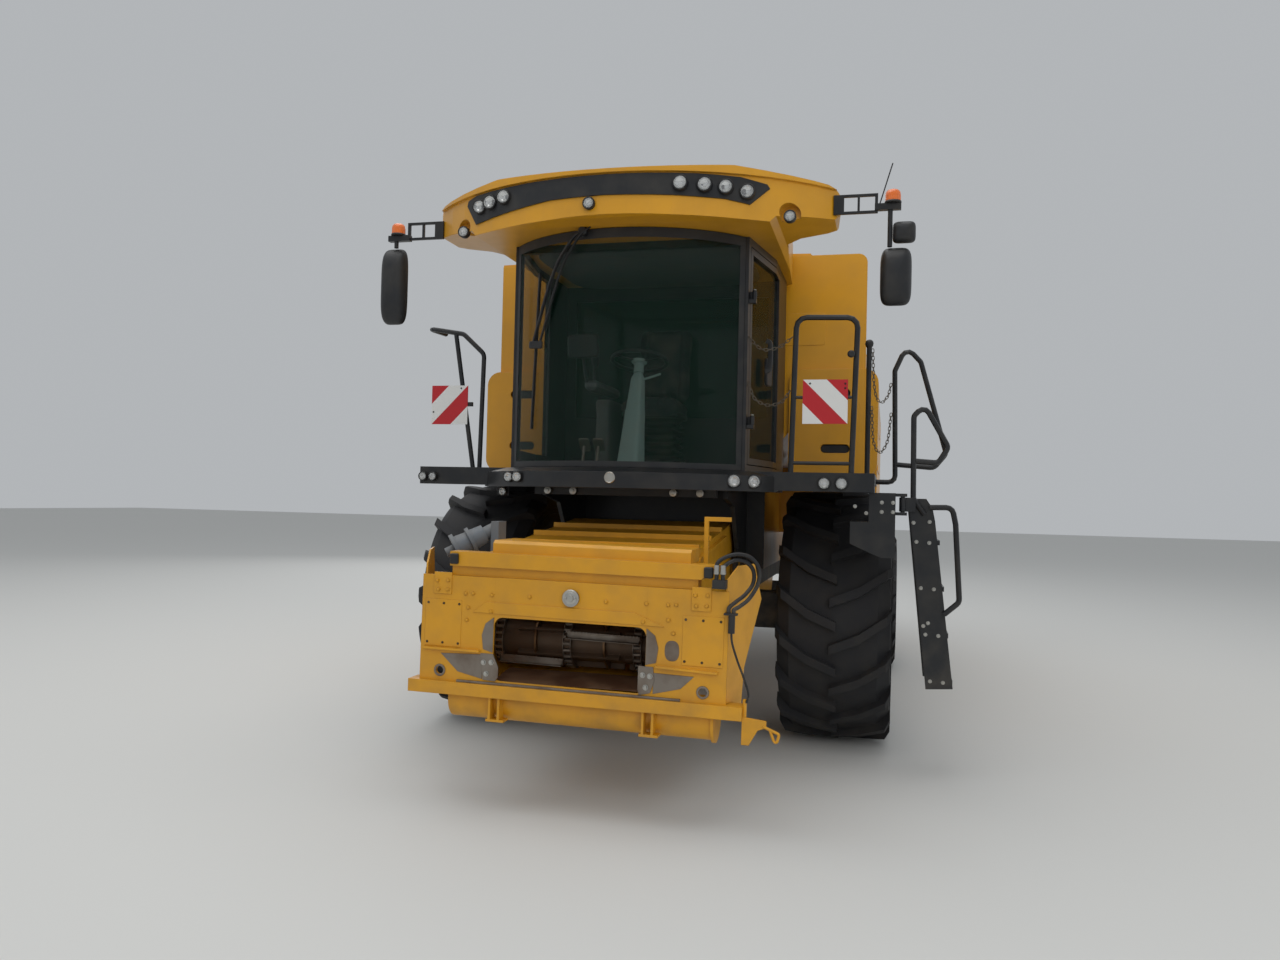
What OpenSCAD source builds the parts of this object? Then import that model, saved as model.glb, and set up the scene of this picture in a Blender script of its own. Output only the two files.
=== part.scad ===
// Combine harvester without its header, parked on its four wheels.
// x runs across the machine towards its left side, y from the front to the back, z is up.
// In the modules y = 0 lies front_axle_y ahead of the front axle, x = 0 is the middle plane
// and z = 0 the ground.
// Each module is drawn there and moved by -box_middle, so that the machine's origin is
// the middle of its own box on the ground.

/* [Wheels] */
// Distance from the front axle to the rear axle
wheelbase = 3500; // [3450:10:3600]
// Distance from the middle plane to the middle of a front tyre
front_track_half = 1345; // [1335:5:1400]
// Radius of a front tyre over its lugs
front_tyre_r = 925; // [880:5:940]
// Width of a front tyre
front_tyre_w = 780; // [700:10:790]
// Radius of the seat of a front rim
front_rim_r = 406; // [380:2:450]
// Distance from the middle plane to the middle of a rear tyre
rear_track_half = 1500; // [1480:5:1560]
// Radius of a rear tyre over its lugs
rear_tyre_r = 720; // [680:5:740]
// Width of a rear tyre
rear_tyre_w = 600; // [500:10:610]
// Radius of the seat of a rear rim
rear_rim_r = 330; // [300:2:360]
// Height of a tyre lug over the carcass
lug_h = 48; // [35:1:55]
// Width of a lug along the tread
lug_w = 62; // [45:1:75]
// Number of lugs on each side of a tyre
lug_count = 18; // [14:1:20]

/* [Cab] */
// Height of the cab floor over the ground
cab_floor_z = 1950; // [1930:5:1980]
// Height of the underside of the roof over the ground
roof_z = 3460; // [3420:5:3500]
// Half of the cab's width at the windscreen posts
cab_half_front = 800; // [780:5:830]
// Half of the cab's width behind the door
cab_half = 905; // [890:5:930]
// Thickness of the cab's posts and walls
cab_wall = 45; // [35:1:55]
// Radius of the curved windscreen
screen_r = 1030; // [1000:5:1100]
// Thickness of the window glass
glass_t = 8; // [5:1:12]
// Half of the roof's span from wing tip to wing tip
roof_half = 1370; // [1320:5:1420]
// Rise of the roof's crown over its underside
roof_rise = 370; // [330:5:400]
// Half of the width of the left platform, from the middle plane to its outer end
platform_half = 1610; // [1580:5:1640]

/* [Grain tank and body] */
// Half of the grain tank's width
tank_half = 1510; // [1480:5:1540]
// Height of the grain tank's rim over the ground
tank_top_z = 3700; // [3650:5:3740]
// Length of the grain tank
tank_length = 2800; // [2700:10:2850]
// Thickness of the grain tank's walls with their ribs
tank_wall = 30; // [20:1:40]
// Half of the width of the threshing body
body_half = 790; // [760:5:800]
// Half of the machine's width over its side shields
shield_half = 1600; // [1570:5:1630]
// Radius of the unloading auger's tube
auger_r = 165; // [140:5:170]
// Length of the unloading auger's tube
auger_length = 5400; // [5000:20:5600]

/* [Feeder] */
// Half of the feeder house's width
feeder_half = 600; // [560:5:640]
// Thickness of the feeder house's walls
feeder_wall = 16; // [10:1:20]
// Half of the width of the face that carries a header
face_half = 885; // [860:5:900]
// Sideways tilt of the face, its left end lower, in degrees
face_tilt = 0.8; // [0:0.1:1.2]
// Radius of the feeder's front drum
drum_r = 120; // [90:5:130]
// Radius of the lock pin bores in the face
lock_pin_r = 22; // [15:1:28]

/* [Rails and ladder] */
// Radius of the handrail tubes
rail_r = 17.5; // [14:0.5:20]
// Width of a warning board
board_w = 282; // [270:2:300]
// Number of steps on the ladder
step_count = 4; // [4:1:4]

/* [Hidden] */
$fn = 48;
front_axle_y = 150;
rear_axle_y = front_axle_y + wheelbase;
box_middle = [178, 2200, 0];
joint_gap = 6;
fit = 0.3;

// Front end: the windscreen's arc and what follows it
screen_half_angle = asin((cab_half_front - cab_wall / 2) / screen_r);
screen_front_y = -1600;
screen_centre_y = screen_front_y + screen_r;
cab_front_y = screen_centre_y - (screen_r - glass_t) * cos(screen_half_angle) + fit;
cab_wide_y = -600;
cab_back_y = 100;
door_back_y = -350;
door_inset = 45;
fairing_depth = 140;
fairing_h = 130;
fascia_y = -1200;
platform_t = 120;
platform_right = 1495;
platform_back_y = 80;
cab_seat_z = cab_floor_z - platform_t - fit;

// Body and tank
tank_front_y = 250;
tank_back_y = tank_front_y + tank_length;
tank_left = 1060;
tank_corner_r = 70;
tank_low_half = 740;
tank_low_z = 2060;
shoulder_z = 2800;
deck_z = 2300;
body_low_z = 1250;
body_front_y = -60;
body_back_y = 5000;
chassis_h = 150;
beam_x = 610;
shield_front_y = 1050;
shield_t = 35;
side_box_half = 1610;
hood_top_z = 3440;
hood_right = 1350;
rear_end_y = 6550;

// Feeder pivot and the points of its house in the side view
pivot_y = -400;
pivot_z = 1280;
pivot_r = 45;
house_r = 320;
house_front_y = -2050;
house_front_top = 1420;
house_front_low = 620;
face_y = -2330;
face_t = 12;
face_low_z = 690;
face_top_z = 1290;
mouth_half = 440;
mouth_low_z = 712;
mouth_top_z = 1068;
mouth_corner_r = 50;
seam = 0.4;
bar_half = 940;
bar_y = face_y - 30;
roller_r = 118;
roller_y = -2175;
roller_z = 585;
lock_pin_at = [760, 748];
drum_y = -1850;
drum_z = 900;

// Unloading auger
auger_x = 1290;
auger_y = 760;
auger_z = 3150;
auger_rise = 3.2;
auger_low_z = auger_z - auger_r - 50;

yellow = [0.86, 0.62, 0.12];
black = [0.07, 0.08, 0.09];
dark_steel = [0.22, 0.22, 0.23];
rubber = [0.10, 0.10, 0.10];
glass = [0.55, 0.66, 0.62, 0.35];

// Plain shapes by their limits
module block(x0, x1, y0, y1, z0, z1) {
    translate([x0, y0, z0]) cube([x1 - x0, y1 - y0, z1 - z0]);
}

module rod_x(r, x0, x1, y, z) {
    translate([x0, y, z]) rotate([0, 90, 0]) cylinder(r = r, h = x1 - x0);
}

module rod_y(r, y0, y1, x, z) {
    translate([x, y0, z]) rotate([-90, 0, 0]) cylinder(r = r, h = y1 - y0);
}

module rod_z(r, z0, z1, x, y) {
    translate([x, y, z0]) cylinder(r = r, h = z1 - z0);
}

// An outline in (y, z), thick from x0 to x1
module side_plate(points, x0, x1) {
    translate([x0, 0, 0]) rotate([90, 0, 90]) linear_extrude(x1 - x0) polygon(points);
}

// An outline in (x, z), thick from y0 to y1
module front_plate(points, y0, y1) {
    translate([0, y1, 0]) rotate([90, 0, 0]) linear_extrude(y1 - y0) polygon(points);
}

// A rectangle in (x, z) with round corners, thick from y0 to y1
module round_front_plate(x0, x1, z0, z1, r, y0, y1) {
    translate([0, y1, 0]) rotate([90, 0, 0]) linear_extrude(y1 - y0)
        offset(r = r, $fn = 24) translate([x0 + r, z0 + r]) square([x1 - x0 - 2 * r, z1 - z0 - 2 * r]);
}

module both_sides() {
    children();
    mirror([1, 0, 0]) children();
}

module on_machine() {
    translate(-box_middle) children();
}

// A bent tube: its corners are arcs, and its rings keep one side from point to point
function unit(v) = v / norm(v);
function corner_arc(a, b, c, r, steps) =
    let (u = unit(a - b), w = unit(c - b), half = acos(u * w) / 2, turn = 180 - 2 * half)
    let (centre = b + unit(u + w) * r / sin(half), from = b + u * r / tan(half) - centre)
    let (to = b + w * r / tan(half) - centre)
    [for (k = [0:steps]) centre + (from * sin((1 - k / steps) * turn)
        + to * sin(k / steps * turn)) / sin(turn)];
function bent(p, r, steps = 3) = [
    p[0],
    for (i = [1:len(p) - 2]) each corner_arc(p[i - 1], p[i], p[i + 1], r, steps),
    p[len(p) - 1]
];
function directions(p) = [for (i = [0:len(p) - 1]) unit(p[min(i + 1, len(p) - 1)] - p[max(i - 1, 0)])];
function ring_sides(t, side, i = 0) =
    i == len(t) ? [] : let (s = unit(side - t[i] * (side * t[i]))) concat([s], ring_sides(t, s, i + 1));

module tube(p, r, n = 8) {
    t = directions(p);
    s = ring_sides(t, abs(t[0][2]) < 0.9 ? [0, 0, 1] : [1, 0, 0]);
    last = len(p) - 1;
    points = [
        for (i = [0:last], k = [0:n - 1])
            p[i] + r * (s[i] * cos(360 * k / n) + cross(t[i], s[i]) * sin(360 * k / n))
    ];
    walls = [
        for (i = [0:last - 1], k = [0:n - 1]) let (k1 = (k + 1) % n)
            each [[i * n + k, (i + 1) * n + k, (i + 1) * n + k1], [i * n + k, (i + 1) * n + k1, i * n + k1]]
    ];
    caps = [[for (k = [0:n - 1]) k], [for (k = [0:n - 1]) last * n + n - 1 - k]];
    polyhedron(points, concat(walls, caps));
}

// Wheels. A tyre lies along x at the origin; its lugs lead with their inner ends.
module tyre(r, w, rim_r) {
    carcass = r - lug_h;
    bulge_r = (carcass + rim_r) / 2;
    // half sections of the carcass and of the lugs' envelope: radius, share of the width
    flank = [[rim_r + fit, 0.34], [rim_r + 60, 0.45], [bulge_r, 0.5]];
    carcass_half = concat(flank, [[carcass - 70, 0.485], [carcass - 12, 0.38]]);
    lug_half = concat(flank, [[r - 70, 0.5], [r - 14, 0.455]]);
    // a lug seen from outside: its nose at the middle leads, its arm trails
    nose = -0.03 * w;
    knee = 0.22 * w;
    tip = 0.5 * w + 10;
    lug = [
        [nose, -lug_w / 2], [knee, 0.10 * w - lug_w / 2], [tip, 0.31 * w - lug_w / 2],
        [tip, 0.31 * w + lug_w / 2], [knee, 0.10 * w + lug_w * 0.6], [nose, lug_w / 2]
    ];
    color(rubber) union() {
        tyre_revolve(carcass_half, carcass, w);
        intersection() {
            tyre_revolve(lug_half, r, w);
            union() for (side = [0, 1], i = [0:lug_count - 1])
                rotate([360 * (i + side / 2) / lug_count, 0, 0]) mirror([side, 0, 0])
                    translate([0, 0, carcass - 130]) linear_extrude(lug_h + 160) polygon(lug);
        }
    }
}

module tyre_revolve(half, crown, w) {
    count = len(half);
    rotate([0, 90, 0]) rotate_extrude() polygon([
        for (s = half) [s[0], s[1] * w],
        [crown, 0],
        for (i = [1:count]) [half[count - i][0], -half[count - i][1] * w]
    ]);
}

// A rim along x at the origin, its dish towards +x
module rim(rim_r, w, hub_r, dish) {
    half = 0.36 * w;
    color(yellow) difference() {
        rotate([0, 90, 0]) rotate_extrude() polygon([
            [hub_r, dish], [hub_r, dish + 22], [rim_r * 0.55, dish + 22], [rim_r * 0.8, dish + 60],
            [rim_r - 22, dish + 60], [rim_r - 22, half], [rim_r + 12, half + 22], [rim_r + 12, half + 4],
            [rim_r, half], [rim_r, -half], [rim_r + 12, -half - 4], [rim_r + 12, -half - 22],
            [rim_r - 22, -half], [rim_r - 22, dish + 38], [rim_r * 0.8, dish + 38], [rim_r * 0.55, dish]
        ]);
        for (a = [0:36:324]) rotate([a, 0, 0]) rod_x(13, dish - 60, dish + 90, 0, rim_r * 0.45);
    }
}

// Places of the wheels and the kingpins
kingpin_x = 1075;
kingpin_r = 25;
steer_arm = 220;
function wheel_at(side, front) = front ? [side * front_track_half, front_axle_y, front_tyre_r]
                                       : [side * rear_track_half, rear_axle_y, rear_tyre_r];
module at_wheel(side, front) {
    translate(wheel_at(side, front)) mirror([side > 0 ? 0 : 1, 0, 0]) children();
}

front_hub_r = 150;
rear_hub_r = 110;
front_dish = -120;
rear_dish = 20;
hub_face = 60;

module front_axle() {
    final_x = front_track_half + front_dish - joint_gap;
    y = front_axle_y;
    color(dark_steel) union() {
        block(-final_x + 90, final_x - 90, y - 110, y + 110, front_tyre_r - 130, front_tyre_r + 140);
        both_sides() {
            rod_x(250, final_x - 230, final_x - 60, y, front_tyre_r);
            rod_x(front_hub_r + 70, final_x - 60.5, final_x, y, front_tyre_r);
            rod_x(front_hub_r - fit, final_x - 1, final_x + hub_face, y, front_tyre_r);
            // ears that carry the lift cylinders
            for (x = [lift_x - 55, lift_x + 35]) side_plate([
                [y - 90, front_tyre_r - 129], [y - 109, front_tyre_r + 60], [-290, lift_base[1] + 20],
                [-280, lift_base[1] - 45], [-200, lift_base[1] - 45]
            ], x, x + 20);
            rod_x(lift_pin_r, lift_x - 50, lift_x + 50, lift_base[0], lift_base[1]);
        }
    }
}

module rear_axle() {
    z = rear_tyre_r;
    color(dark_steel) difference() {
        union() {
            block(-kingpin_x + 70, kingpin_x - 70, rear_axle_y - 90, rear_axle_y + 90, z - 60, z + 140);
            both_sides() {
                rod_z(70, z + 62, z + 140, kingpin_x, rear_axle_y);
                rod_z(70, z - 140, z - 62, kingpin_x, rear_axle_y);
                block(kingpin_x - 130, kingpin_x - 50, rear_axle_y - 70, rear_axle_y + 70, z - 140, z - 62);
                block(kingpin_x - 130, kingpin_x - 50, rear_axle_y - 70, rear_axle_y + 70, z + 62, z + 140);
            }
        }
        both_sides() block(kingpin_x - 90, kingpin_x + 80, rear_axle_y - 95, rear_axle_y + 95, z - 62, z
            + 62);
        both_sides() rod_z(kingpin_r + fit, z - 150, z + 150, kingpin_x, rear_axle_y);
    }
}

module knuckle() {
    z = rear_tyre_r;
    hub_x = rear_track_half + rear_dish - joint_gap;
    color(dark_steel) union() {
        rod_z(60, z - 56, z + 56, kingpin_x, rear_axle_y);
        rod_z(kingpin_r, z - 140, z + 140, kingpin_x, rear_axle_y);
        rod_x(55, kingpin_x, hub_x - 20, rear_axle_y, z);
        rod_x(rear_hub_r + 40, hub_x - 30, hub_x, rear_axle_y, z);
        rod_x(rear_hub_r - fit, hub_x - 1, hub_x + hub_face, rear_axle_y, z);
        block(kingpin_x - 30, kingpin_x + 30, rear_axle_y, rear_axle_y + steer_arm, z - 55, z - 25);
        rod_z(35, z - 55, z - 25, kingpin_x, rear_axle_y + steer_arm);
    }
}

module tie_rod() {
    z = rear_tyre_r;
    y = rear_axle_y + steer_arm;
    color(dark_steel) union() {
        block(-kingpin_x + 30, kingpin_x - 30, y - 18, y + 18, z - 85, z - 55 - fit);
        both_sides() rod_z(38, z - 85, z - 55 - fit, kingpin_x, y);
    }
}

// Frame and body
module chassis() {
    top = body_low_z;
    low = front_tyre_r + 140;
    pivot_low = rear_tyre_r + 140 + fit;
    color(dark_steel) union() {
        both_sides() block(beam_x - 60, beam_x + 60, -50, body_back_y + 300, low, top);
        block(-beam_x, beam_x, -50, front_axle_y + 110, low, low + 90);
        block(-beam_x, beam_x, rear_axle_y - 120, rear_axle_y + 120, low + 40, top);
        block(-160, 160, rear_axle_y - 120, rear_axle_y + 120, pivot_low, top);
        block(-beam_x, beam_x, body_back_y + 180, body_back_y + 300, low, top);
    }
}

module threshing_body() {
    color(yellow) union() {
        side_plate([
            [body_front_y, body_low_z], [body_front_y, cab_seat_z], [cab_back_y + 20, cab_seat_z],
                [cab_back_y + 20, tank_low_z],
            [tank_back_y + 20, tank_low_z], [tank_back_y + 20, deck_z], [body_back_y - 120, deck_z],
            [body_back_y - 120, 1500], [body_back_y + 250, body_low_z]
        ], -body_half, body_half);
        side_plate([[420, body_low_z + 1], [560, 820], [2600, 760], [2950, body_low_z + 1]],
                   -beam_x + 62, beam_x - 62);
        both_sides() side_plate([
            [body_front_y, 1085], [pivot_y - 90, pivot_z - 130], [pivot_y - 130, pivot_z + 40],
            [pivot_y - 60, pivot_z + 140], [-700, 1720], [-1000, 1770], [-1000, cab_seat_z], [body_front_y,
                cab_seat_z]
        ], feeder_half + 25, feeder_half + 55);
    }
}

module drive_pulleys() {
    // place along the body, height and radius of each pulley
    pulleys = [[1350, 1900, 230], [2050, 1650, 160], [2700, 1850, 300], [3500, 1800, 140], [4300, 2050,
        260]];
    color(dark_steel) both_sides() for (p = pulleys) {
        rod_x(p[2], body_half + 60, body_half + 120, p[0], p[1]);
        rod_x(40, body_half, body_half + 160, p[0], p[1]);
    }
}

module feeder_bearing_holes() {
    rod_x(pivot_r + 1, -feeder_half - 80, feeder_half + 80, pivot_y, pivot_z);
}

module grain_tank() {
    t = tank_wall;
    low_side = tank_low_z + 420;
    // outline in (x, z) of the bin behind its front wall; its right half rests on the shoulder
    outer = [
        [-tank_half, tank_top_z], [-tank_half, shoulder_z + fit], [-tank_left, shoulder_z + fit],
            [-tank_left, low_side],
        [-tank_low_half, tank_low_z + fit], [tank_low_half, tank_low_z + fit], [tank_left, low_side],
        [tank_left, tank_top_z]
    ];
    inner = [
        [-tank_half + t, tank_top_z + 1], [-tank_half + t, shoulder_z + 3 * t], [-tank_left + t,
            shoulder_z + t],
        [-tank_left + t, low_side + 10], [-tank_low_half + 18, tank_low_z + t], [tank_low_half - 18,
            tank_low_z + t],
        [tank_left - t, low_side + 10], [tank_left - t, tank_top_z + 1]
    ];
    color(yellow) difference() {
        union() {
            front_plate(outer, tank_front_y, tank_back_y);
            front_plate([
                [-tank_half, shoulder_z + fit], [tank_half, shoulder_z + fit], [tank_half,
                    tank_top_z - tank_corner_r],
                [tank_half - tank_corner_r, tank_top_z], [-tank_half, tank_top_z]
            ], tank_front_y, tank_front_y + t);
            rod_y(tank_corner_r, tank_front_y, tank_front_y + t, tank_half - tank_corner_r,
                tank_top_z - tank_corner_r);
        }
        front_plate(inner, tank_front_y + t, tank_back_y - t);
    }
}

lid_t = 40;
lid_middle = -225;
lid_z = tank_top_z + fit;
lid_left_x = tank_left + 12;
lid_right_x = -tank_half - 12;
lid_hinge_r = 10;
module tank_lid(x0, x1, hinge_x) {
    y0 = tank_front_y + tank_wall + joint_gap;
    y1 = tank_back_y - 4;
    color(yellow) union() {
        front_plate([
            [x0, lid_z], [x1, lid_z], [x1, lid_z + lid_t * 0.6], [(x0 + x1) / 2, lid_z + lid_t], [x0,
                lid_z + lid_t * 0.6]
        ], y0, y1);
        rod_y(lid_hinge_r, y0 + 30, y1 - 30, hinge_x, lid_z + lid_hinge_r + 2);
        // pressed ribs and a grab bar along the free edge
        for (y = [y0 + 500, y0 + 1150, y0 + 1800]) block(x0 + 60, x1 - 60, y, y + 60, lid_z + 10,
            lid_z + lid_t + 6);
    }
}

front_panel_t = 35;
box_r = 110;
module side_structure() {
    // a panel and a box over each front wheel, and the shoulder that carries the side shields
    box_in = tank_left + 10;
    box_back = shield_front_y - joint_gap;
    color(yellow) union() {
        both_sides() shoulder(box_in, box_back);
        // elbow that carries the unloading auger
        rod_z(auger_r + 25, shoulder_z - 1, auger_low_z - fit, auger_x, auger_y);
        rod_z(auger_r + 60, shoulder_z - 1, shoulder_z + 25, auger_x, auger_y);
    }
}

module shoulder(box_in, box_back) {
    difference() {
        union() {
            round_front_plate(930, side_box_half, cab_floor_z + 10, shoulder_z, box_r,
                tank_front_y - front_panel_t,
                              tank_front_y - fit);
            difference() {
                round_front_plate(box_in - box_r, side_box_half, cab_floor_z + 60, shoulder_z, box_r,
                    tank_front_y - 1, box_back);
                block(box_in - box_r - 1, box_in, tank_front_y - 2, box_back + 1, cab_floor_z, shoulder_z
                    + 1);
            }
            difference() {
                round_front_plate(box_in - box_r, shield_half, shoulder_z - 270, shoulder_z, 80,
                    box_back - 1, body_back_y - 100);
                block(box_in - box_r - 1, box_in, box_back - 2, body_back_y, shoulder_z - 271, shoulder_z
                    + 1);
                block(box_in - 1, shield_half + 1, box_back - 2, body_back_y, shoulder_z - 271,
                    shoulder_z - 90);
            }
            block(body_half + fit, box_in + 1, box_back - 60, box_back - 20, 1500, cab_floor_z + 100);
            block(tank_left, box_in + 40, body_back_y - 180, body_back_y - 122, 1500, shoulder_z);
            block(body_half + fit, box_in + 40, body_back_y - 180, body_back_y - 122, 1500, deck_z - 20);
            // brackets with the pins of the shield's hinge
            for (y = [shield_y0 - 16, shield_y1 + 4])
                block(shield_hinge_x - 12, shield_hinge_x + 12, y, y + 12, shield_hinge_z - 12,
                    shoulder_z - 89);
            rod_y(shield_pin_r, shield_y0 - 10, shield_y0 + 28, shield_hinge_x, shield_hinge_z);
            rod_y(shield_pin_r, shield_y1 - 28, shield_y1 + 10, shield_hinge_x, shield_hinge_z);
        }
        for (z = [2180, 2610])
            round_front_plate(1180, 1400, z - 34, z + 34, 33, tank_front_y - front_panel_t - 1,
                tank_front_y + 60);
    }
}

// Side shields hang on the shoulder and swing out and up
shield_hinge_r = 12;
shield_pin_r = 6;
shield_hinge_x = shield_half - shield_hinge_r - 1;
shield_hinge_z = shoulder_z - 90 - shield_hinge_r - joint_gap;
shield_y0 = shield_front_y + 4;
shield_y1 = body_back_y - 110;
shield_low_front_z = 1250;
shield_low_back_z = 1620;
module side_shield() {
    y0 = shield_y0;
    y1 = shield_y1;
    arch_y = rear_axle_y - rear_tyre_r - 260;
    color(yellow) difference() {
        union() {
            side_plate([
                [y0, shield_low_front_z + 60], [y0 + 60, shield_low_front_z], [arch_y, shield_low_front_z],
                [arch_y + 260, shield_low_back_z], [y1, shield_low_back_z], [y1, shield_hinge_z], [y0,
                    shield_hinge_z]
            ], shield_half - shield_t, shield_half);
            rod_y(shield_hinge_r, y0, y1, shield_hinge_x, shield_hinge_z);
            // pressed ribs
            for (z = [1700, 2050, 2400]) side_plate([
                [y0 + 120, z], [y0 + 150, z + 70], [arch_y - 130, z + 70], [arch_y - 100, z]
            ], shield_half - 1, shield_half + 8);
        }
        // joint between the front and the back panel
        block(shield_half - 12, shield_half + 1, arch_y - 20, arch_y - 12, shield_low_front_z - 1,
            shield_hinge_z - 30);
        for (y = [y0 - 1, y1 - 30]) rod_y(shield_pin_r + fit, y, y + 31, shield_hinge_x, shield_hinge_z);
    }
}

module engine_block() {
    color(dark_steel) block(-480, 480, tank_back_y + 260, tank_back_y + 1500, deck_z, hood_top_z - 240);
}

screen_hole_r = 215;
screen_hole_z = 3060;
module engine_hood() {
    t = 25;
    y0 = tank_back_y + 22;
    y1 = body_back_y - 60;
    left = tank_left - 10;
    color(yellow) difference() {
        front_plate([
            [-left, deck_z + fit], [left, deck_z + fit], [left, hood_top_z - 60], [left - 60, hood_top_z],
            [-hood_right + 120, hood_top_z], [-hood_right, hood_top_z - 120], [-hood_right,
                shoulder_z + fit],
            [-left, shoulder_z + fit]
        ], y0, y1);
        front_plate([
            [-left + t, deck_z], [left - t, deck_z], [left - t, hood_top_z - 60 - t / 2],
            [left - 60 - t / 2, hood_top_z - t], [-hood_right + 120 + t / 2, hood_top_z - t],
            [-hood_right + t, hood_top_z - 120 - t / 2], [-hood_right + t, shoulder_z + fit + t],
            [-left + t, shoulder_z + fit + t]
        ], y0 + t, y1 - t);
        rod_x(screen_hole_r, -hood_right - 1, -hood_right + t + 1, (y0 + y1) / 2, screen_hole_z);
    }
}

module dust_screen() {
    y = (tank_back_y + 22 + body_back_y - 60) / 2;
    color(dark_steel) union() {
        difference() {
            rod_x(screen_hole_r - fit, -hood_right - 20, -hood_right + 25, y, screen_hole_z);
            rod_x(screen_hole_r - 30, -hood_right - 21, -hood_right + 5, y, screen_hole_z);
        }
        for (a = [0:45:135]) translate([0, y, screen_hole_z]) rotate([a, 0, 0])
            block(-hood_right - 18, -hood_right + 6, -screen_hole_r + 20, screen_hole_r - 20, -12, 12);
    }
}

function tail_y(z) = rear_end_y - 30 + 30 * (z - 1780) / 420;
module rear_hood() {
    color(yellow) union() {
        translate([-880, 0, 0]) rotate([90, 0, 90]) linear_extrude(1760) offset(r = 90, $fn = 24)
            offset(delta = -90)
            polygon([
                [body_back_y - 60 + fit, 1560], [body_back_y - 60 + fit, 3080], [5600, 3080], [6330, 2780],
                [rear_end_y, 2200], [rear_end_y - 30, 1780], [5900, 1330], [5330, 1330]
            ]);
    }
}

module straw_chopper() {
    y = 5720;
    z = 1060;
    color(black) union() {
        rod_x(270, -860, 860, y, z);
        block(-860, 860, y - 220, y + 250, z, 1329);
        both_sides() block(862, 880, y - 300, y + 1080, z - 60, 1300);
        block(-862, 862, y + 240, y + 1080, 1180, 1200);
        for (i = [-4:4]) translate([i * 190, y + 330, 0]) rotate([0, 0, -i * 7]) block(-6, 6, 0, 640, 950,
            1181);
    }
}

// Unloading auger, folded back along the tank
module auger_frame() {
    translate([auger_x, auger_y, auger_z]) rotate([auger_rise, 0, 0]) children();
}

module auger_tube() {
    color(yellow) union() {
        rod_z(auger_r + 25, auger_low_z, auger_z + 60, auger_x, auger_y);
        auger_frame() rod_y(auger_r, 0, auger_length, 0, 0);
        auger_frame() for (y = [900, 2700, 4500]) rod_y(auger_r + 12, y, y + 40, 0, 0);
    }
}

module auger_spout() {
    l = 330;
    color(black) auger_frame() difference() {
        union() {
            rod_y(auger_r + 20, auger_length + fit, auger_length + l, 0, 0);
            block(-auger_r - 20, auger_r + 20, auger_length + fit, auger_length + l, -auger_r - 190, 0);
        }
        block(-auger_r + 10, auger_r - 10, auger_length + 30, auger_length + l - 30, -auger_r - 191, 60);
    }
}

// Cab
module cab_outline() {
    polygon([
        [-cab_half_front, cab_front_y], [cab_half_front, cab_front_y], [cab_half, cab_wide_y], [cab_half,
            cab_back_y],
        [-cab_half, cab_back_y], [-cab_half, cab_wide_y]
    ]);
}

module cab_ring() {
    difference() {
        cab_outline();
        offset(delta = -cab_wall) cab_outline();
    }
}

module cab_front_arc(r) {
    intersection() {
        translate([0, screen_centre_y]) circle(r = r, $fn = 96);
        translate([0, screen_centre_y]) polygon([
            [0, 0], 2 * screen_r * [-sin(screen_half_angle), -cos(screen_half_angle)],
            2 * screen_r * [sin(screen_half_angle), -cos(screen_half_angle)]
        ]);
    }
}

module cab_floor() {
    color(black) union() {
        translate([0, 0, cab_floor_z - platform_t]) linear_extrude(platform_t) union() {
            cab_outline();
            cab_front_arc(screen_r - glass_t);
        }
        cab_cross_member();
    }
}

module cab_cross_member() {
    block(-620, 620, -1250, -1180, 1775, cab_floor_z - platform_t + 1);
    for (x = [-519, -341, 341, 519]) rod_y(27, -1275, -1249, x, 1801);
}

// The door turns on two pins in front of its edge
door_pin = [cab_half_front + 34, cab_front_y + door_inset + 2];
door_pin_r = 8;
door_pin_h = 60;
door_hinge_z = [cab_floor_z + 300, roof_z - 400];

module cab_frame() {
    low = cab_floor_z + fit;
    color(black) union() {
        cab_shell(low);
        for (z = door_hinge_z) {
            rod_z(door_pin_r, z, z + door_pin_h, door_pin[0], door_pin[1]);
            block(cab_half_front - 20, door_pin[0] + 14, door_pin[1] - 30, door_pin[1] - 3, z - 25, z);
            block(cab_half_front + 14, door_pin[0] + 14, door_pin[1] - 30, door_pin[1] + 14, z - 25, z);
        }
    }
}

module cab_shell(low) {
    difference() {
        translate([0, 0, low]) linear_extrude(roof_z - low) cab_ring();
        // windscreen, door, right window and back window
        block(-cab_half_front + cab_wall, cab_half_front - cab_wall, cab_front_y - 10, cab_front_y
            + cab_wall + 10,
              low + 50, roof_z - 50);
        block(cab_half_front - cab_wall - 60, cab_half + 10, cab_front_y + door_inset, door_back_y, low
            + 40, roof_z - 50);
        block(-cab_half - 10, -cab_half_front + cab_wall + 60, cab_front_y + door_inset, door_back_y, low
            + 120, roof_z - 50);
        block(-cab_half + 130, cab_half - 130, cab_back_y - cab_wall - 5, cab_back_y + 5, low + 450,
            roof_z - 120);
    }
}

module windscreen() {
    color(glass) translate([0, 0, cab_floor_z + fit]) linear_extrude(roof_z - cab_floor_z - 2 * fit)
        difference() {
        cab_front_arc(screen_r);
        translate([0, screen_centre_y]) circle(r = screen_r - glass_t, $fn = 96);
    }
}

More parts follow.
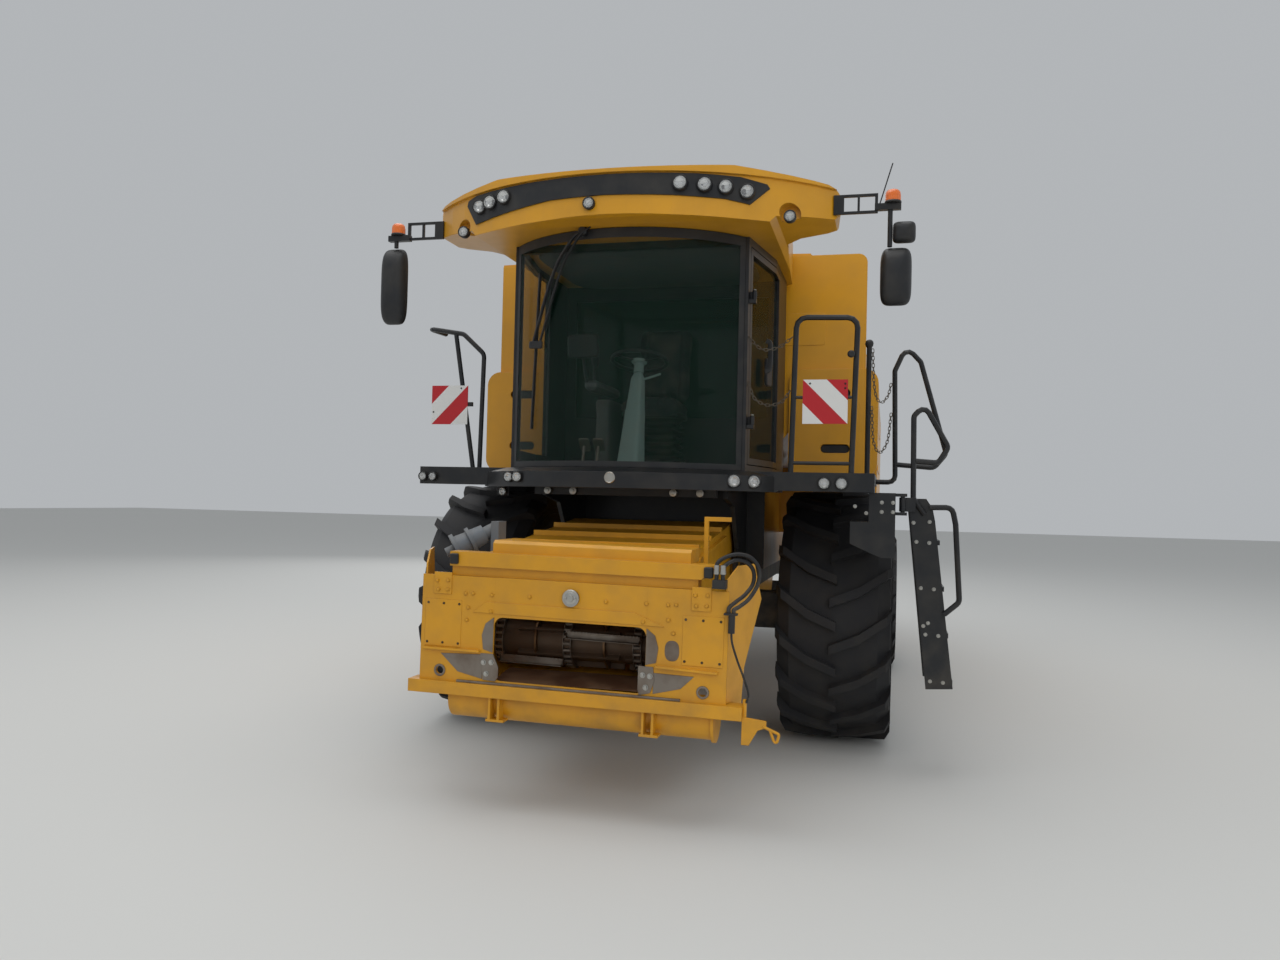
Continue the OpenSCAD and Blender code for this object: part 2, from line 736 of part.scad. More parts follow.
module side_windows() {
    low = cab_floor_z + fit;
    color(glass) union() {
        intersection() {
            translate([0, 0, low + 120 + fit]) linear_extrude(roof_z - low - 170 - 2 * fit) difference() {
                offset(delta = -cab_wall / 2 + glass_t / 2) cab_outline();
                offset(delta = -cab_wall / 2 - glass_t / 2) cab_outline();
            }
            block(-cab_half - 10, -cab_half_front + cab_wall + 60, cab_front_y + door_inset + fit,
                door_back_y - fit, 0, 5000);
        }
        block(-cab_half + 130 + fit, cab_half - 130 - fit, cab_back_y - cab_wall / 2 - 4,
            cab_back_y - cab_wall / 2 + 4,
              low + 450 + fit, roof_z - 120 - fit);
    }
}

door_frame = 42;
module door_space(inset, wall_out, wall_in) {
    low = cab_floor_z + fit + 40;
    intersection() {
        translate([0, 0, low + inset]) linear_extrude(roof_z - 50 - low - 2 * inset) difference() {
            offset(delta = -wall_out) cab_outline();
            offset(delta = -wall_in) cab_outline();
        }
        block(0, cab_half + 10, cab_front_y + door_inset + inset, door_back_y - inset, 0, 5000);
    }
}

module cab_door() {
    strap_y = cab_front_y + door_inset + joint_gap;
    color(black) difference() {
        union() {
            difference() {
                door_space(joint_gap, 0, cab_wall);
                door_space(joint_gap + door_frame, -20, cab_wall + 20);
            }
            for (z = door_hinge_z) {
                rod_z(door_pin_r + 7, z + fit, z + door_pin_h - 4, door_pin[0], door_pin[1]);
                block(cab_half_front - 6, door_pin[0], strap_y + 4, strap_y + 34, z + fit, z
                    + door_pin_h - 4);
            }
        }
        for (z = door_hinge_z) rod_z(door_pin_r + fit, z - 5, z + door_pin_h + 5, door_pin[0], door_pin[1]);
    }
}

module door_glass() {
    color(glass) door_space(joint_gap + door_frame + fit, cab_wall / 2 - glass_t / 2, cab_wall / 2
        + glass_t / 2);
}

// Roof: its plan, its front view and its side view cut each other
roof_front_r = 1864;
roof_front_y = -1850;
wing_low = [[roof_half, 115], [1340, 80], [1000, 40], [965, 0]];
brim_lip = 25;
brim_low_z = roof_z + 265;
function roof_edge_y(x) = roof_front_y + roof_front_r - sqrt(roof_front_r * roof_front_r - x * x);
module roof_plan(grow = 0) {
    arc = [for (i = [-10:10]) let (x = i / 10 * (roof_half - 20)) [x, roof_edge_y(x) - grow]];
    polygon(concat(arc, [
        [roof_half, roof_edge_y(roof_half) + 40], [roof_half - 20, -1010], [roof_half - 90, -970], [1100,
            -950], [1010, -860],
        [980, -500], [940, 180], [880, 240], [-880, 240], [-940, 180], [-980, -500], [-1010, -860], [-1100,
            -950],
        [-roof_half + 90, -970], [-roof_half + 20, -1010], [-roof_half, roof_edge_y(roof_half) + 40]
    ]));
}

// The roof's body under its brim, and the brim with all above it
module roof_shape(grow = 0) {
    translate([0, 0, roof_z + fit - grow]) linear_extrude(brim_low_z - roof_z) offset(delta = grow)
        roof_plan(-brim_lip);
    translate([0, 0, brim_low_z - grow]) linear_extrude(roof_z + roof_rise - brim_low_z + grow)
        offset(delta = grow) roof_plan();
}

// A lamp hangs in a hollow under each wing
wing_lamp_at = [1080, roof_z + 48];
wing_lamp_front_y = -1500;
wing_lamp_back_y = -1395;

module cab_roof() {
    top = roof_rise;
    half_front = [[0, top], [400, top - 14], [800, top - 58], [1000, top - 72], [1300, top - 87],
        [roof_half - 20, top - 106],
                  [roof_half, top - 130], for (w = wing_low) w];
    other_half = [for (i = [1:len(half_front) - 1]) let (q = half_front[len(half_front) - i]) [-q[0],
        q[1]]];
    color(yellow) difference() {
        intersection() {
            roof_shape();
            translate([0, 0, roof_z]) front_plate(concat(half_front, other_half), -2500, 1000);
            translate([0, 0, roof_z]) side_plate([
                [-1900, 40], [-1900, top - 86], [-1850, top - 82], [-1700, top - 56], [-1500, top - 32],
                    [-1300, top - 16],
                [-1000, top], [-300, top], [290, top - 90], [290, 0], [-1640, 0], [-1780, 8], [-1850, 22]
            ], -2000, 2000);
        }
        both_sides() rod_y(62, -1700, wing_lamp_back_y, wing_lamp_at[0], wing_lamp_at[1] + 22);
    }
}

// The lamp band's outline in (x, z over the roof's underside)
band_outline = [[-955, 68], [-750, 90], [-367, 128], [0, 132], [396, 124], [713, 112], [853, 90], [965,
    200], [950, 222], [800, 250],
                [570, 256], [-656, 256], [-960, 256], [-1035, 240], [-1045, 208]];
band_t = 12;
module lamp_band() {
    color(black) difference() {
        intersection() {
            translate([0, 0, roof_z + 1]) linear_extrude(brim_low_z - roof_z - 2)
                roof_plan(band_t - brim_lip);
            translate([0, 0, roof_z]) front_plate(band_outline, -2500, -1400);
        }
        translate([0, 0, roof_z]) linear_extrude(roof_rise) roof_plan(fit - brim_lip);
    }
}

function fairing_edge_y(x) = screen_centre_y - sqrt(pow(screen_r + fairing_depth, 2) - x * x);

// A forward lamp: x, y of its back, z and radius
module lamp(x, y, z, r, depth = 30) {
    rod_y(r, y - depth, y, x, z);
}

band_lamps = [[-915, 170], [-823, 181], [-708, 194], [455, 192], [596, 188], [717, 181], [839, 162]];
module work_lamps() {
    color([0.9, 0.9, 0.88]) {
        difference() {
            for (l = band_lamps) lamp(l[0], roof_edge_y(l[0]) + 100, roof_z + l[1], 38, 98);
            translate([0, 0, roof_z]) linear_extrude(roof_rise) roof_plan(band_t - brim_lip + fit);
        }
        // sensor in the middle of the visor, and the lamps under the wings
        difference() {
            lamp(-100, roof_edge_y(-100) + 100, roof_z + 84, 34, 90);
            translate([0, 0, roof_z]) linear_extrude(roof_rise) roof_plan(fit - brim_lip);
        }
        both_sides() rod_y(32, wing_lamp_front_y, wing_lamp_back_y - fit, wing_lamp_at[0], wing_lamp_at[1]);
        for (x = [1303, 1406, -1401, -1464]) lamp(x, fascia_y - fit, cab_floor_z - 68, 28);
        lamp(-870, fascia_y + 10 - fit, 1787, 30);
        // tail lamps
        for (x = [-800, 800]) round_front_plate(x - 60, x + 60, 1900, 2060, 20, tail_y(2060) + fit,
            tail_y(2060) + 34);
        for (x = [-694, -626, 769, 875]) lamp(x, fairing_edge_y(x) + 12, cab_floor_z - 68, 32, 30);
    }
}

module seat_base() {
    color(black) union() {
        block(-400, 180, -560, -200, cab_floor_z + fit, cab_floor_z + 60);
        // console under the driver's right arm
        block(-400, -310, -540, -240, cab_floor_z + 59, cab_floor_z + 561);
        block(-420, -300, -900, -220, cab_floor_z + 560, cab_floor_z + 640);
        block(-140, 140, -520, -240, cab_floor_z + 59, cab_floor_z + 380);
        block(-230, 230, -620, -170, cab_floor_z + 379, cab_floor_z + 420);
    }
}

module seat_cushions() {
    z = cab_floor_z + 420 + fit;
    color([0.2, 0.2, 0.22]) union() {
        block(-240, 240, -660, -160, z, z + 120);
        translate([0, -200, z + 119]) rotate([-8, 0, 0]) block(-230, 230, 0, 110, 0, 620);
    }
}

module steering_column() {
    y = cab_front_y + 150;
    z = cab_floor_z + fit;
    color([0.16, 0.18, 0.18]) union() {
        translate([0, y, z]) rotate([-14, 0, 0]) {
            rod_z(70, 30, 700, 0, 0);
            rod_z(30, 699, 790, 0, 0);
            translate([0, 0, 790]) rotate_extrude() translate([190, 0]) circle(r = 14);
            for (a = [30, 150, 270]) rotate([0, 0, a]) block(0, 192, -14, 14, 784, 796);
        }
        block(-110, 110, y - 100, y + 100, z, z + 60);
    }
}

module fairing() {
    low = cab_floor_z - fairing_h;
    difference() {
        translate([0, 0, low]) linear_extrude(fairing_h) difference() {
            union() {
                intersection() {
                    translate([0, screen_centre_y]) circle(r = screen_r + fairing_depth, $fn = 96);
                    polygon([[-1000, -2500], [1000, -2500], [1000, fascia_y + 40], [-1000, fascia_y + 40]]);
                }
                translate([-1003, fascia_y]) square([2006, 40]);
            }
            offset(delta = fit) cab_outline();
            offset(delta = fit) cab_front_arc(screen_r);
        }
        for (x = [-694, -626, 769, 875]) lamp(x, fairing_edge_y(x) + 12 + fit, cab_floor_z - 68, 32 + fit,
            80);
        // the lip under the windscreen slopes forwards
        translate([0, 0, cab_floor_z - 30]) difference() {
            translate([0, screen_centre_y, 0]) cylinder(r = screen_r + fairing_depth + 60, h = 31,
                $fn = 96);
            translate([0, screen_centre_y, -1]) cylinder(r1 = screen_r + fairing_depth + 1, r2 = screen_r
                + 20, h = 33, $fn = 96);
            block(-1300, 1300, fascia_y, 900, -40, 60);
        }
    }
}

// The ladder turns on a pin between two lugs of the box under the left platform's corner
ladder_pin = [1785, -985];
ladder_pin_r = 14;
ladder_lug_low_z = 1690;
ladder_lug_top_z = 1830;
ladder_lug_t = 20;
ladder_box_x = 1740;

module platforms() {
    z0 = cab_floor_z - platform_t;
    color(black) union() {
        fairing();
        block(cab_half + 2, platform_half, fascia_y + 41, platform_back_y, cab_floor_z - 40,
            cab_floor_z - 4);
        block(1002, platform_half, fascia_y, fascia_y + 42, z0, cab_floor_z);
        block(platform_half - 40, platform_half, fascia_y, platform_back_y, cab_floor_z - 60, cab_floor_z);
        block(-platform_right, -cab_half - 2, fascia_y + 41, platform_back_y, cab_floor_z - 40,
            cab_floor_z - 4);
        block(-platform_right, -1002, fascia_y, fascia_y + 42, z0, cab_floor_z);
        // bracket of the round lamp under the fairing's right end
        front_plate([[-910, 1760], [-830, 1760], [-830, z0 + 1], [-930, z0 + 1]], fascia_y + 10, fascia_y
            + 18);
        block(-930, -830, fascia_y + 10, fascia_y + 42, z0 - 9, z0 + 1);
        ladder_box(z0);
    }
}

module ladder_box(z0) {
    pin = ladder_pin;
    front_plate([
        [1460, 1645], [1460, 1503], [1600, 1440], [1660, 1418], [ladder_box_x, 1417], [ladder_box_x,
            z0 + 1], [1575, z0 + 1],
        [1575, 1645]
    ], -1080, -790);
    block(1400, platform_half - 1, -1080, -790, z0 - 1, cab_floor_z - 39);
    difference() {
        for (z = [ladder_lug_low_z, ladder_lug_top_z - ladder_lug_t])
            block(ladder_box_x - 1, pin[0] + 27, pin[1] - 25, pin[1] + 25, z, z + ladder_lug_t);
        rod_z(ladder_pin_r + fit, ladder_lug_low_z - 1, ladder_lug_top_z + 1, pin[0], pin[1]);
    }
}

gate_y = -1170;
right_rail_y = -900;
module handrails() {
    top = 2945;
    fascia_foot = cab_floor_z + 2 * fit;
    plate = cab_floor_z - 4 + fit;
    color(black) union() {
        tube(bent([[1085, gate_y, fascia_foot], [1105, gate_y, top], [1490, gate_y, top - 10],
                   [1465, gate_y, fascia_foot]], 65), rail_r);
        tube([[1096, gate_y, 2430], [1482, gate_y, 2430]], 10);
        tube([[1086, gate_y, 2010], [1470, gate_y, 2010]], 12);
        // right rail
        tube(bent([[-1180, right_rail_y, plate + 4 * fit], [-1165, right_rail_y, 2780], [-1330,
            right_rail_y, 2930],
                   [-1610, right_rail_y, 2975], [-1590, right_rail_y + 250, 2975]], 60), rail_r);
        tube([[-1230, right_rail_y, plate + rail_r / 5], [-1390, right_rail_y, 2935]], rail_r);
        block(-1500, -1240, right_rail_y - rail_r - 4, right_rail_y, 2400, 2430);
        // post with the ball top, and the loop behind the ladder
        tube([[1550, -550, plate], [1550, -550, 2850]], rail_r);
        tube(bent([[platform_half + fit, -380, 1915], [1740, -380, 1915], [1725, -380, 2700], [1800, -380,
            2870], [1900, -380, 2760],
                   [2080, -380, 2120], [2000, -380, 2020], [1736, -380, 2040]], 45), rail_r);
    }
}

module warning_boards() {
    color([0.75, 0.15, 0.15]) {
        block(1295 - board_w / 2, 1295 + board_w / 2, gate_y - 16 - fit, gate_y - 10 - fit, 2260, 2260
            + board_w);
        block(-1555, -1555 + board_w, right_rail_y - rail_r - 10 - fit, right_rail_y - rail_r - 4 - fit,
            2268, 2268 + board_w);
    }
}

arm_y = -1270;
arm_left_z = roof_z + 105;
arm_right_z = roof_z + 70;
arm_h = 122;
arm_reach = 1600;
holder_left_z = roof_z + 160;
holder_right_z = roof_z + 105;

// An open frame from the roof's end to the holder of a mirror
module arm_frame(z) {
    difference() {
        block(roof_half - 40, arm_reach, arm_y - 9, arm_y + 9, z, z + arm_h);
        block(roof_half + 24, 1476, arm_y - 10, arm_y + 10, z + 16, z + arm_h - 16);
        block(1490, arm_reach - 18, arm_y - 10, arm_y + 10, z + 16, z + arm_h - 16);
    }
}

module mirror_arms() {
    color(black) difference() {
        union() {
            arm_frame(arm_left_z);
            block(arm_reach - 19, 1740, arm_y - 20, arm_y + 20, holder_left_z - 40, holder_left_z);
            rod_z(15, 3350 + fit, holder_left_z - 39, 1675, arm_y);
            tube([[1610, arm_y, holder_left_z - 2], [1685, arm_y, holder_left_z + 252]], 4);
            mirror([1, 0, 0]) arm_frame(arm_right_z);
            block(-1745, -arm_reach + 19, arm_y - 20, arm_y + 20, holder_right_z - 40, holder_right_z);
            rod_z(15, 3480 + fit, holder_right_z - 39, -1690, arm_y);
        }
        intersection() {
            roof_shape(fit);
            both_sides() translate([0, 0, roof_z]) front_plate(concat([for (w = wing_low) [w[0] + fit,
                w[1] - fit]], [
                [900, 0], [900, roof_rise], [roof_half + fit, roof_rise]
            ]), -2500, 1000);
        }
    }
}

module mirror_heads() {
    color(black) union() {
        round_front_plate(1620, 1810, 2990, 3350, 45, arm_y - 45, arm_y + 65);
        round_front_plate(1690 + fit, 1830, 3375, 3510, 40, arm_y - 40, arm_y + 40);
        round_front_plate(-1805, -1612, 2945, 3480, 45, arm_y - 45, arm_y + 65);
    }
}

module beacons() {
    color([0.9, 0.35, 0.08]) {
        rod_z(45, holder_left_z + fit, holder_left_z + 80, 1690, arm_y);
        rod_z(45, holder_right_z + fit, holder_right_z + 75, -1676, arm_y);
    }
}

// Chains that close the gate, by the points where they hang between two posts
chain_r = 7;
gate_chain_routes = [
    [[809.1, -1222, 2815], [850, -1210, 2765], [908, -1198, 2735], [1000, -1182, 2755], [1080.3, -1172,
        2818]],
    [[809.9, -1222, 2523], [850, -1210, 2420], [934, -1195, 2378], [1020, -1180, 2402], [1072.3, -1172,
        2472]],
    [[1573.4, -546, 2830], [1590, -510, 2560], [1630, -460, 2470], [1680, -410, 2520], [1701, -384, 2610]],
    [[1573.6, -546, 2430], [1588, -510, 2200], [1630, -460, 2120], [1682, -410, 2200], [1705, -384, 2400]]
];
module gate_chains() {
    color([0.5, 0.5, 0.5]) for (route = gate_chain_routes) tube(route, chain_r);
}

// Exhaust over the engine hood
module exhaust() {
    x = -640;
    y = body_back_y - 420;
    color(dark_steel) union() {
        rod_z(95, hood_top_z + fit, hood_top_z + 40, x, y);
        rod_z(62, hood_top_z + 39, hood_top_z + 240, x, y);
        translate([x, y, hood_top_z + 235]) rotate([-35, 0, 0]) cylinder(r = 60, h = 90);
    }
}

// Ladder, hung on a post under the platform's corner
ladder_front_y = -950;
ladder_back_y = -460;
module ladder() {
    top = 1800;
    low = 585;
    lean = 125;
    in_x = 1821;
    step_pitch = 295;
    rail_y = ladder_front_y - rail_r + 2;
    sleeve_low = ladder_lug_low_z + ladder_lug_t + 5;
    sleeve_top = ladder_lug_top_z - ladder_lug_t - 5;
    stringer = [
        [in_x, top], [in_x + 110, top], [in_x + 150, top - 60], [in_x + 167, top - 145], [in_x + lean + 166,
            low + 12],
        [in_x + lean, low]
    ];
    color(black) union() {
        for (y = [ladder_front_y, ladder_back_y]) front_plate(stringer, y, y + 12);
        for (i = [0:step_count - 1]) {
            z = low + 35 + i * step_pitch;
            x = in_x + 8 + lean * (top - z) / (top - low);
            block(x, x + 160, ladder_front_y + 11, ladder_back_y + 1, z, z + 30);
        }
        rod_z(ladder_pin_r, ladder_lug_low_z, ladder_lug_top_z, ladder_pin[0], ladder_pin[1]);
        rod_z(ladder_pin_r + 8, sleeve_low, sleeve_top, ladder_pin[0], ladder_pin[1]);
        block(ladder_pin[0], in_x + 44, ladder_pin[1] - 8, ladder_pin[1] + 8, sleeve_low, sleeve_top);
        block(in_x + 20, in_x + 44, ladder_pin[1] - 8, ladder_front_y + 1, sleeve_low, sleeve_top);
        tube(bent([[in_x + 130, rail_y, 1745], [2090, rail_y, 1748], [2112, rail_y, 1640],
                   [2142, rail_y, 1150], [2050, rail_y, 1068]], 45), rail_r);
        tube(bent([[in_x + 100, rail_y, 1700], [1850, rail_y, 1800],
                   [1845, rail_y, 2330], [1910, rail_y, 2400],
                   [2060, rail_y, 2130], [2000, rail_y, 2030],
                   [1860, rail_y, 2040]], 40), rail_r);
    }
}

// Feeder house and the face that carries a header
function house_at(y, back_z, front_z) = back_z
    + (front_z - back_z) * (pivot_y - y) / (pivot_y - house_front_y);
function house_top_z(y) = house_at(y, pivot_z + house_r, house_front_top);
function house_low_z(y) = house_at(y, pivot_z - house_r, house_front_low);
module feeder_house() {
    t = feeder_wall;
    outline = [
        [pivot_y, pivot_z + house_r], [house_front_y, house_front_top], [house_front_y, house_front_low],
        [pivot_y, pivot_z - house_r]
    ];
    color(yellow) difference() {
        union() {
            side_plate(outline, -feeder_half, feeder_half);
            rod_x(house_r, -feeder_half, feeder_half, pivot_y, pivot_z);
            rod_x(pivot_r, -feeder_half - 54, feeder_half + 54, pivot_y, pivot_z);
            for (y = [-900, -1300, -1700]) {
                z = house_top_z(y);
                block(-feeder_half, feeder_half, y, y + 50, z - 12, z + 32);
            }
            // prop bar on the left, shaped as an L, and a flange along each upper edge
            block(feeder_half - 1, feeder_half + 60, -1760, -1720, 1330, 1370);
            block(feeder_half + 40, feeder_half + 66, -1753, -1727, 1331, 1660);
            block(feeder_half + 40, feeder_half + 200, -1753, -1727, 1634, 1660);
            both_sides() side_plate([
                [-1780, house_top_z(-1780) - 60], [-1780, house_top_z(-1780) - 40],
                [-800, house_top_z(-800) - 40], [-800, house_top_z(-800) - 60]
            ], feeder_half - 1, feeder_half + 24);
            // ears for the lift cylinders' rods
            both_sides() for (x = [lift_x - 55, lift_x + 35]) side_plate([
                [lift_eye[0] - 60, lift_eye[1] - 40], [lift_eye[0] + 60, lift_eye[1] - 40],
                [lift_eye[0] + 90, house_low_z(lift_eye[0] + 90) + 8], [lift_eye[0] - 90,
                    house_low_z(lift_eye[0] - 90) + 8]
            ], x, x + 20);
            both_sides() rod_x(lift_pin_r, lift_x - 50, lift_x + 50, lift_eye[0], lift_eye[1]);
        }
        side_plate([
            [pivot_y - 60, pivot_z + house_r - t - 8], [house_front_y - 1, house_front_top - t],
            [house_front_y - 1, house_front_low + t], [pivot_y - 60, pivot_z - house_r + t - 14]
        ], -feeder_half + t, feeder_half - t);
    }
}

module tilted_face() {
    translate([0, 0, 950]) rotate([0, face_tilt, 0]) translate([0, 0, -950]) children();
}

module face_frame() {
    back = house_front_y - fit;
    post_low_z = face_low_z + 1 + fit;
    post_top_z = face_top_z - 1 - fit;
    // the plate is a post on each side of the mouth, a panel over it and a sill under it
    for (x = [[-face_half, -mouth_half - fit], [mouth_half + fit, face_half]])
        block(x[0], x[1], face_y, face_y + face_t, post_low_z, post_top_z);
    block(-mouth_half, mouth_half, face_y, face_y + face_t, mouth_top_z - mouth_corner_r + 6, face_top_z);
    block(-mouth_half, mouth_half, face_y, face_y + face_t, face_low_z, mouth_low_z + mouth_corner_r - 6);
    // bottom bar, the roller behind it and the two feet
    block(-bar_half, bar_half + 35, bar_y, face_y + 90, face_low_z - 70, face_low_z + 1);
    rod_x(roller_r, -720, 800, roller_y, roller_z);
    rod_x(roller_r + 14, 800, 818, roller_y, roller_z);
    for (x = [-420, 465]) {
        for (dx = [-34, 20]) block(x + dx, x + dx + 14, face_y - 12, face_y + 60, face_low_z - 198,
            face_low_z - 69);
        block(x - 46, x + 60, face_y - 12, face_y + 60, face_low_z - 205, face_low_z - 191);
    }
    // recess, channel and cap along the top
    block(-mouth_half, mouth_half, face_y + face_t - 1, face_y + 60, face_top_z - 14, face_top_z);
    for (x = [[-718, -mouth_half - fit], [mouth_half + fit, 710]])
        block(x[0], x[1], face_y + face_t - 1, face_y + 60, face_top_z - 14, post_top_z);
    block(-718, 710, face_y + 26, face_y + 120, face_top_z - 1, face_top_z + 55);
    front_plate([[-720, face_top_z + 54], [731, face_top_z + 54], [821, face_top_z + 134], [-722,
        face_top_z + 136]],
                face_y - 6, face_y + 120);
    side_plate([
        [face_y + 42, face_top_z + 134], [face_y + 42, face_top_z + 190], [face_y + 62, face_top_z + 208],
        [back, face_top_z + 208], [back, face_top_z + 134]
    ], -482, 663);
    for (x = [-feeder_half - 6, feeder_half - feeder_wall - 4])
        block(x, x + feeder_wall + 10, face_y + 120 + fit, back, face_low_z + 160, face_top_z + 100);
    both_sides() side_cheek();
}

// A cheek leads back and outwards from the edge of the face
module side_cheek() {
    translate([face_half - 12, face_y + 8, 0]) rotate([0, 0, 70]) front_plate([
        [0, face_low_z + 3], [0, 1350], [120, 1420], [300, 1425], [395, 1225], [215, 860],
        [195, face_low_z - 30], [100, face_low_z - 30], [100, face_low_z + 3]
    ], 0, 10);
}

// Plates on the face: an outline in (x, z) and how far it stands proud
face_plates = [
    [[[-571, 1089], [-492, 1150], [369, 1146], [539, 1080]], 6],
    [[[-812, 1182], [-812, 1305], [-705, 1305], [-705, 1182]], 8],
    [[[684, 1178], [684, 1305], [789, 1305], [789, 1178]], 8],
    [[[-862, 884], [-862, 1150], [-640, 1150], [-640, 884]], 3],
    [[[640, 884], [640, 1150], [862, 1150], [862, 884]], 3],
    [[[-860, 866], [-860, 878], [-516, 878], [-516, 866]], 26],
    [[[500, 860], [500, 872], [838, 862], [838, 850]], 26]
];

// The latch at the bar's left end, with its bent handle
module face_latch() {
    x = bar_half + 34;
    rod_z(11, 492, 730, x + 10, face_y + 10);
    front_plate([[x - 1, 640], [x + 128, 628], [x + 128, 592], [x + 84, 575], [x + 40, 493], [x - 1, 493]],
        face_y - 4, face_y + 6);
    tube(bent([[x + 110, face_y - 3, 600], [x + 196, face_y - 3, 566], [x + 182, face_y - 3, 498], [x + 145,
        face_y - 3, 590]], 10), 8);
}

module feeder_face() {
    color(yellow) tilted_face() difference() {
        union() {
            face_frame();
            for (p = face_plates) front_plate(p[0], face_y - p[1], face_y + 1);
            face_latch();
        }
        round_front_plate(-mouth_half, mouth_half, mouth_low_z, mouth_top_z, mouth_corner_r,
                          face_y - 7, face_y + face_t + 1);
        for (x = [-mouth_half - fit / 2, mouth_half + fit / 2])
            block(x - seam / 2, x + seam / 2, face_y - 40, face_y + 61, face_low_z - 1, face_top_z - 1);
        both_sides() rod_y(lock_pin_r, face_y - 4, face_y + face_t + 1, lock_pin_at[0], lock_pin_at[1]);
        block(-mouth_half, mouth_half, face_y + 80, house_front_y, mouth_low_z, mouth_top_z);
    }
}

// Steel wear plates round the mouth, the strip under it and the blank disc over it
wear_t = 8;
module wear_plates() {
    front = face_y - fit - wear_t;
    color([0.42, 0.40, 0.38]) tilted_face() union() {
        for (p = [
            [[-757, 845], [-505, 855], [-501, 718], [-650, 749]],
            [[488, 831], [710, 827], [639, 757], [488, 718]]
        ]) front_plate(p, front + 5, face_y - fit);
        for (p = [
            [[-513, 862], [-438, 862], [-404, 790], [-404, 735], [-420, 711], [-494, 715]],
            [[404, 862], [486, 862], [494, 786], [474, 722], [412, 706], [404, 735]]
        ]) front_plate(p, front, face_y - fit);
        for (s = [-1, 1]) front_plate([
            [s * 442, 1066], [s * 490, 1030], [s * 510, 965], [s * 500, 885], [s * 442, 870]
        ], front + 4, face_y - fit);
        block(-650, 640, front - 8, face_y - fit, face_low_z + 2, face_low_z + 14);
        rod_y(46, front - 10, face_y - fit, 10, 1203);
        rod_y(20, front - 18, front - 9, 10, 1203);
    }
}

// Coupler of the header's hoses with the electric plug, and the hoses that it holds
module hose_coupler() {
    front = face_y - fit;
    color(black) tilted_face() union() {
        block(800, 872, front - 60, front, 1306, 1352);
        for (x = [818, 852]) rod_z(11, 1351, 1385, x, front - 35);
        block(864, 934, face_y - 46, face_y - fit, 1170, 1180);
        rod_z(18, 1075, 1171, 905, face_y - 26);
    }
}

// Routes of the hoses and of the plug's cable
hose_r = 11;
hose_routes = [
    [[824, -2366, 1374.4], [824, -2364, 1420], [852, -2345, 1452], [920, -2320, 1476], [990, -2290, 1460],
        [1034, -2270, 1400],
     [1030, -2270, 1320], [992, -2300, 1246], [948, -2330, 1205], [918, -2352, 1186], [917, -2353, 1168.6]],
    [[858, -2366, 1374], [858, -2364, 1402], [876, -2345, 1425], [920, -2320, 1446], [975, -2290, 1430],
        [1006, -2270, 1385],
     [1004, -2270, 1320], [968, -2300, 1264], [924, -2330, 1226], [892, -2352, 1196], [891, -2353, 1168.6]]
];
module feeder_hoses() {
    color([0.05, 0.05, 0.05]) union() {
        for (route = hose_routes) tube(route, hose_r);
        tube([[907, -2356, 1061.4], [912, -2352, 1010], [940, -2344, 920], [975, -2338, 830], [1000, -2336,
            750], [992, -2336, 700]], 6);
    }
}

// Parked drive shaft of the header under its stepped guard, on the feeder's right side
shaft_from = [-648, -1850, 1555];
shaft_lean = [118, 0, -62];
module header_shaft() {
    color([0.42, 0.45, 0.48]) union() {
        block(-650, -feeder_half - fit, -1910, -1790, 1300, 1600);
        translate(shaft_from) rotate(shaft_lean) {
            cylinder(r = 40, h = 80);
            translate([0, 0, 70]) cylinder(r1 = 58, r2 = 66, h = 90);
            translate([0, 0, 150]) cylinder(r = 84, h = 22);
            translate([0, 0, 165]) cylinder(r1 = 62, r2 = 72, h = 95);
            translate([0, 0, 250]) cylinder(r = 90, h = 24);
            translate([0, 0, 270]) cylinder(r = 30, h = 60);
        }
    }
}

module feeder_drum() {
    w = feeder_half - feeder_wall - fit;
    slat_x = [[-430, -130], [-100, 200], [230, 520]];
    color([0.3, 0.22, 0.16]) union() {
        rod_x(drum_r, -w + 30, w - 30, drum_y, drum_z);
        rod_x(30, -w, w, drum_y, drum_z);
        // chain rings and slats round the drum
        for (x = [-540, -115, 310, 540]) rod_x(drum_r + 24, x - 14, x + 14, drum_y, drum_z);
        for (a = [0:60:300]) translate([0, drum_y, drum_z]) rotate([a, 0, 0])
            for (s = slat_x) block(s[0], s[1], -8, 8, drum_r - 2, drum_r + 34);
    }
}

// Lift cylinders under the feeder
lift_x = 430;
lift_base = [-240, 690];
lift_eye = [-1500, 650];
lift_dir = [lift_eye[0] - lift_base[0], lift_eye[1] - lift_base[1]];
lift_len = norm(lift_dir);
lift_angle = atan2(lift_dir[1], -lift_dir[0]);
lift_pin_r = 20;
module on_lift() {
    translate([0, lift_base[0], lift_base[1]]) rotate([-lift_angle, 0, 0]) children();
}

module lift_barrels() {
    color(black) both_sides() on_lift() difference() {
        union() {
            rod_y(48, -820, -60, lift_x, 0);
            rod_x(50, lift_x - 30, lift_x + 30, 0, 0);
            block(lift_x - 30, lift_x + 30, -100, 0, -40, 40);
        }
        rod_y(30.5, -821, -200, lift_x, 0);
        rod_x(lift_pin_r + fit, lift_x - 31, lift_x + 31, 0, 0);
    }
}

module lift_rods() {
    color([0.75, 0.75, 0.76]) both_sides() on_lift() difference() {
        union() {
            rod_y(30, -lift_len + 40, -420, lift_x, 0);
            rod_x(48, lift_x - 25, lift_x + 25, -lift_len, 0);
        }
        rod_x(34, lift_x - 31, lift_x + 31, -lift_len, 0);
    }
}

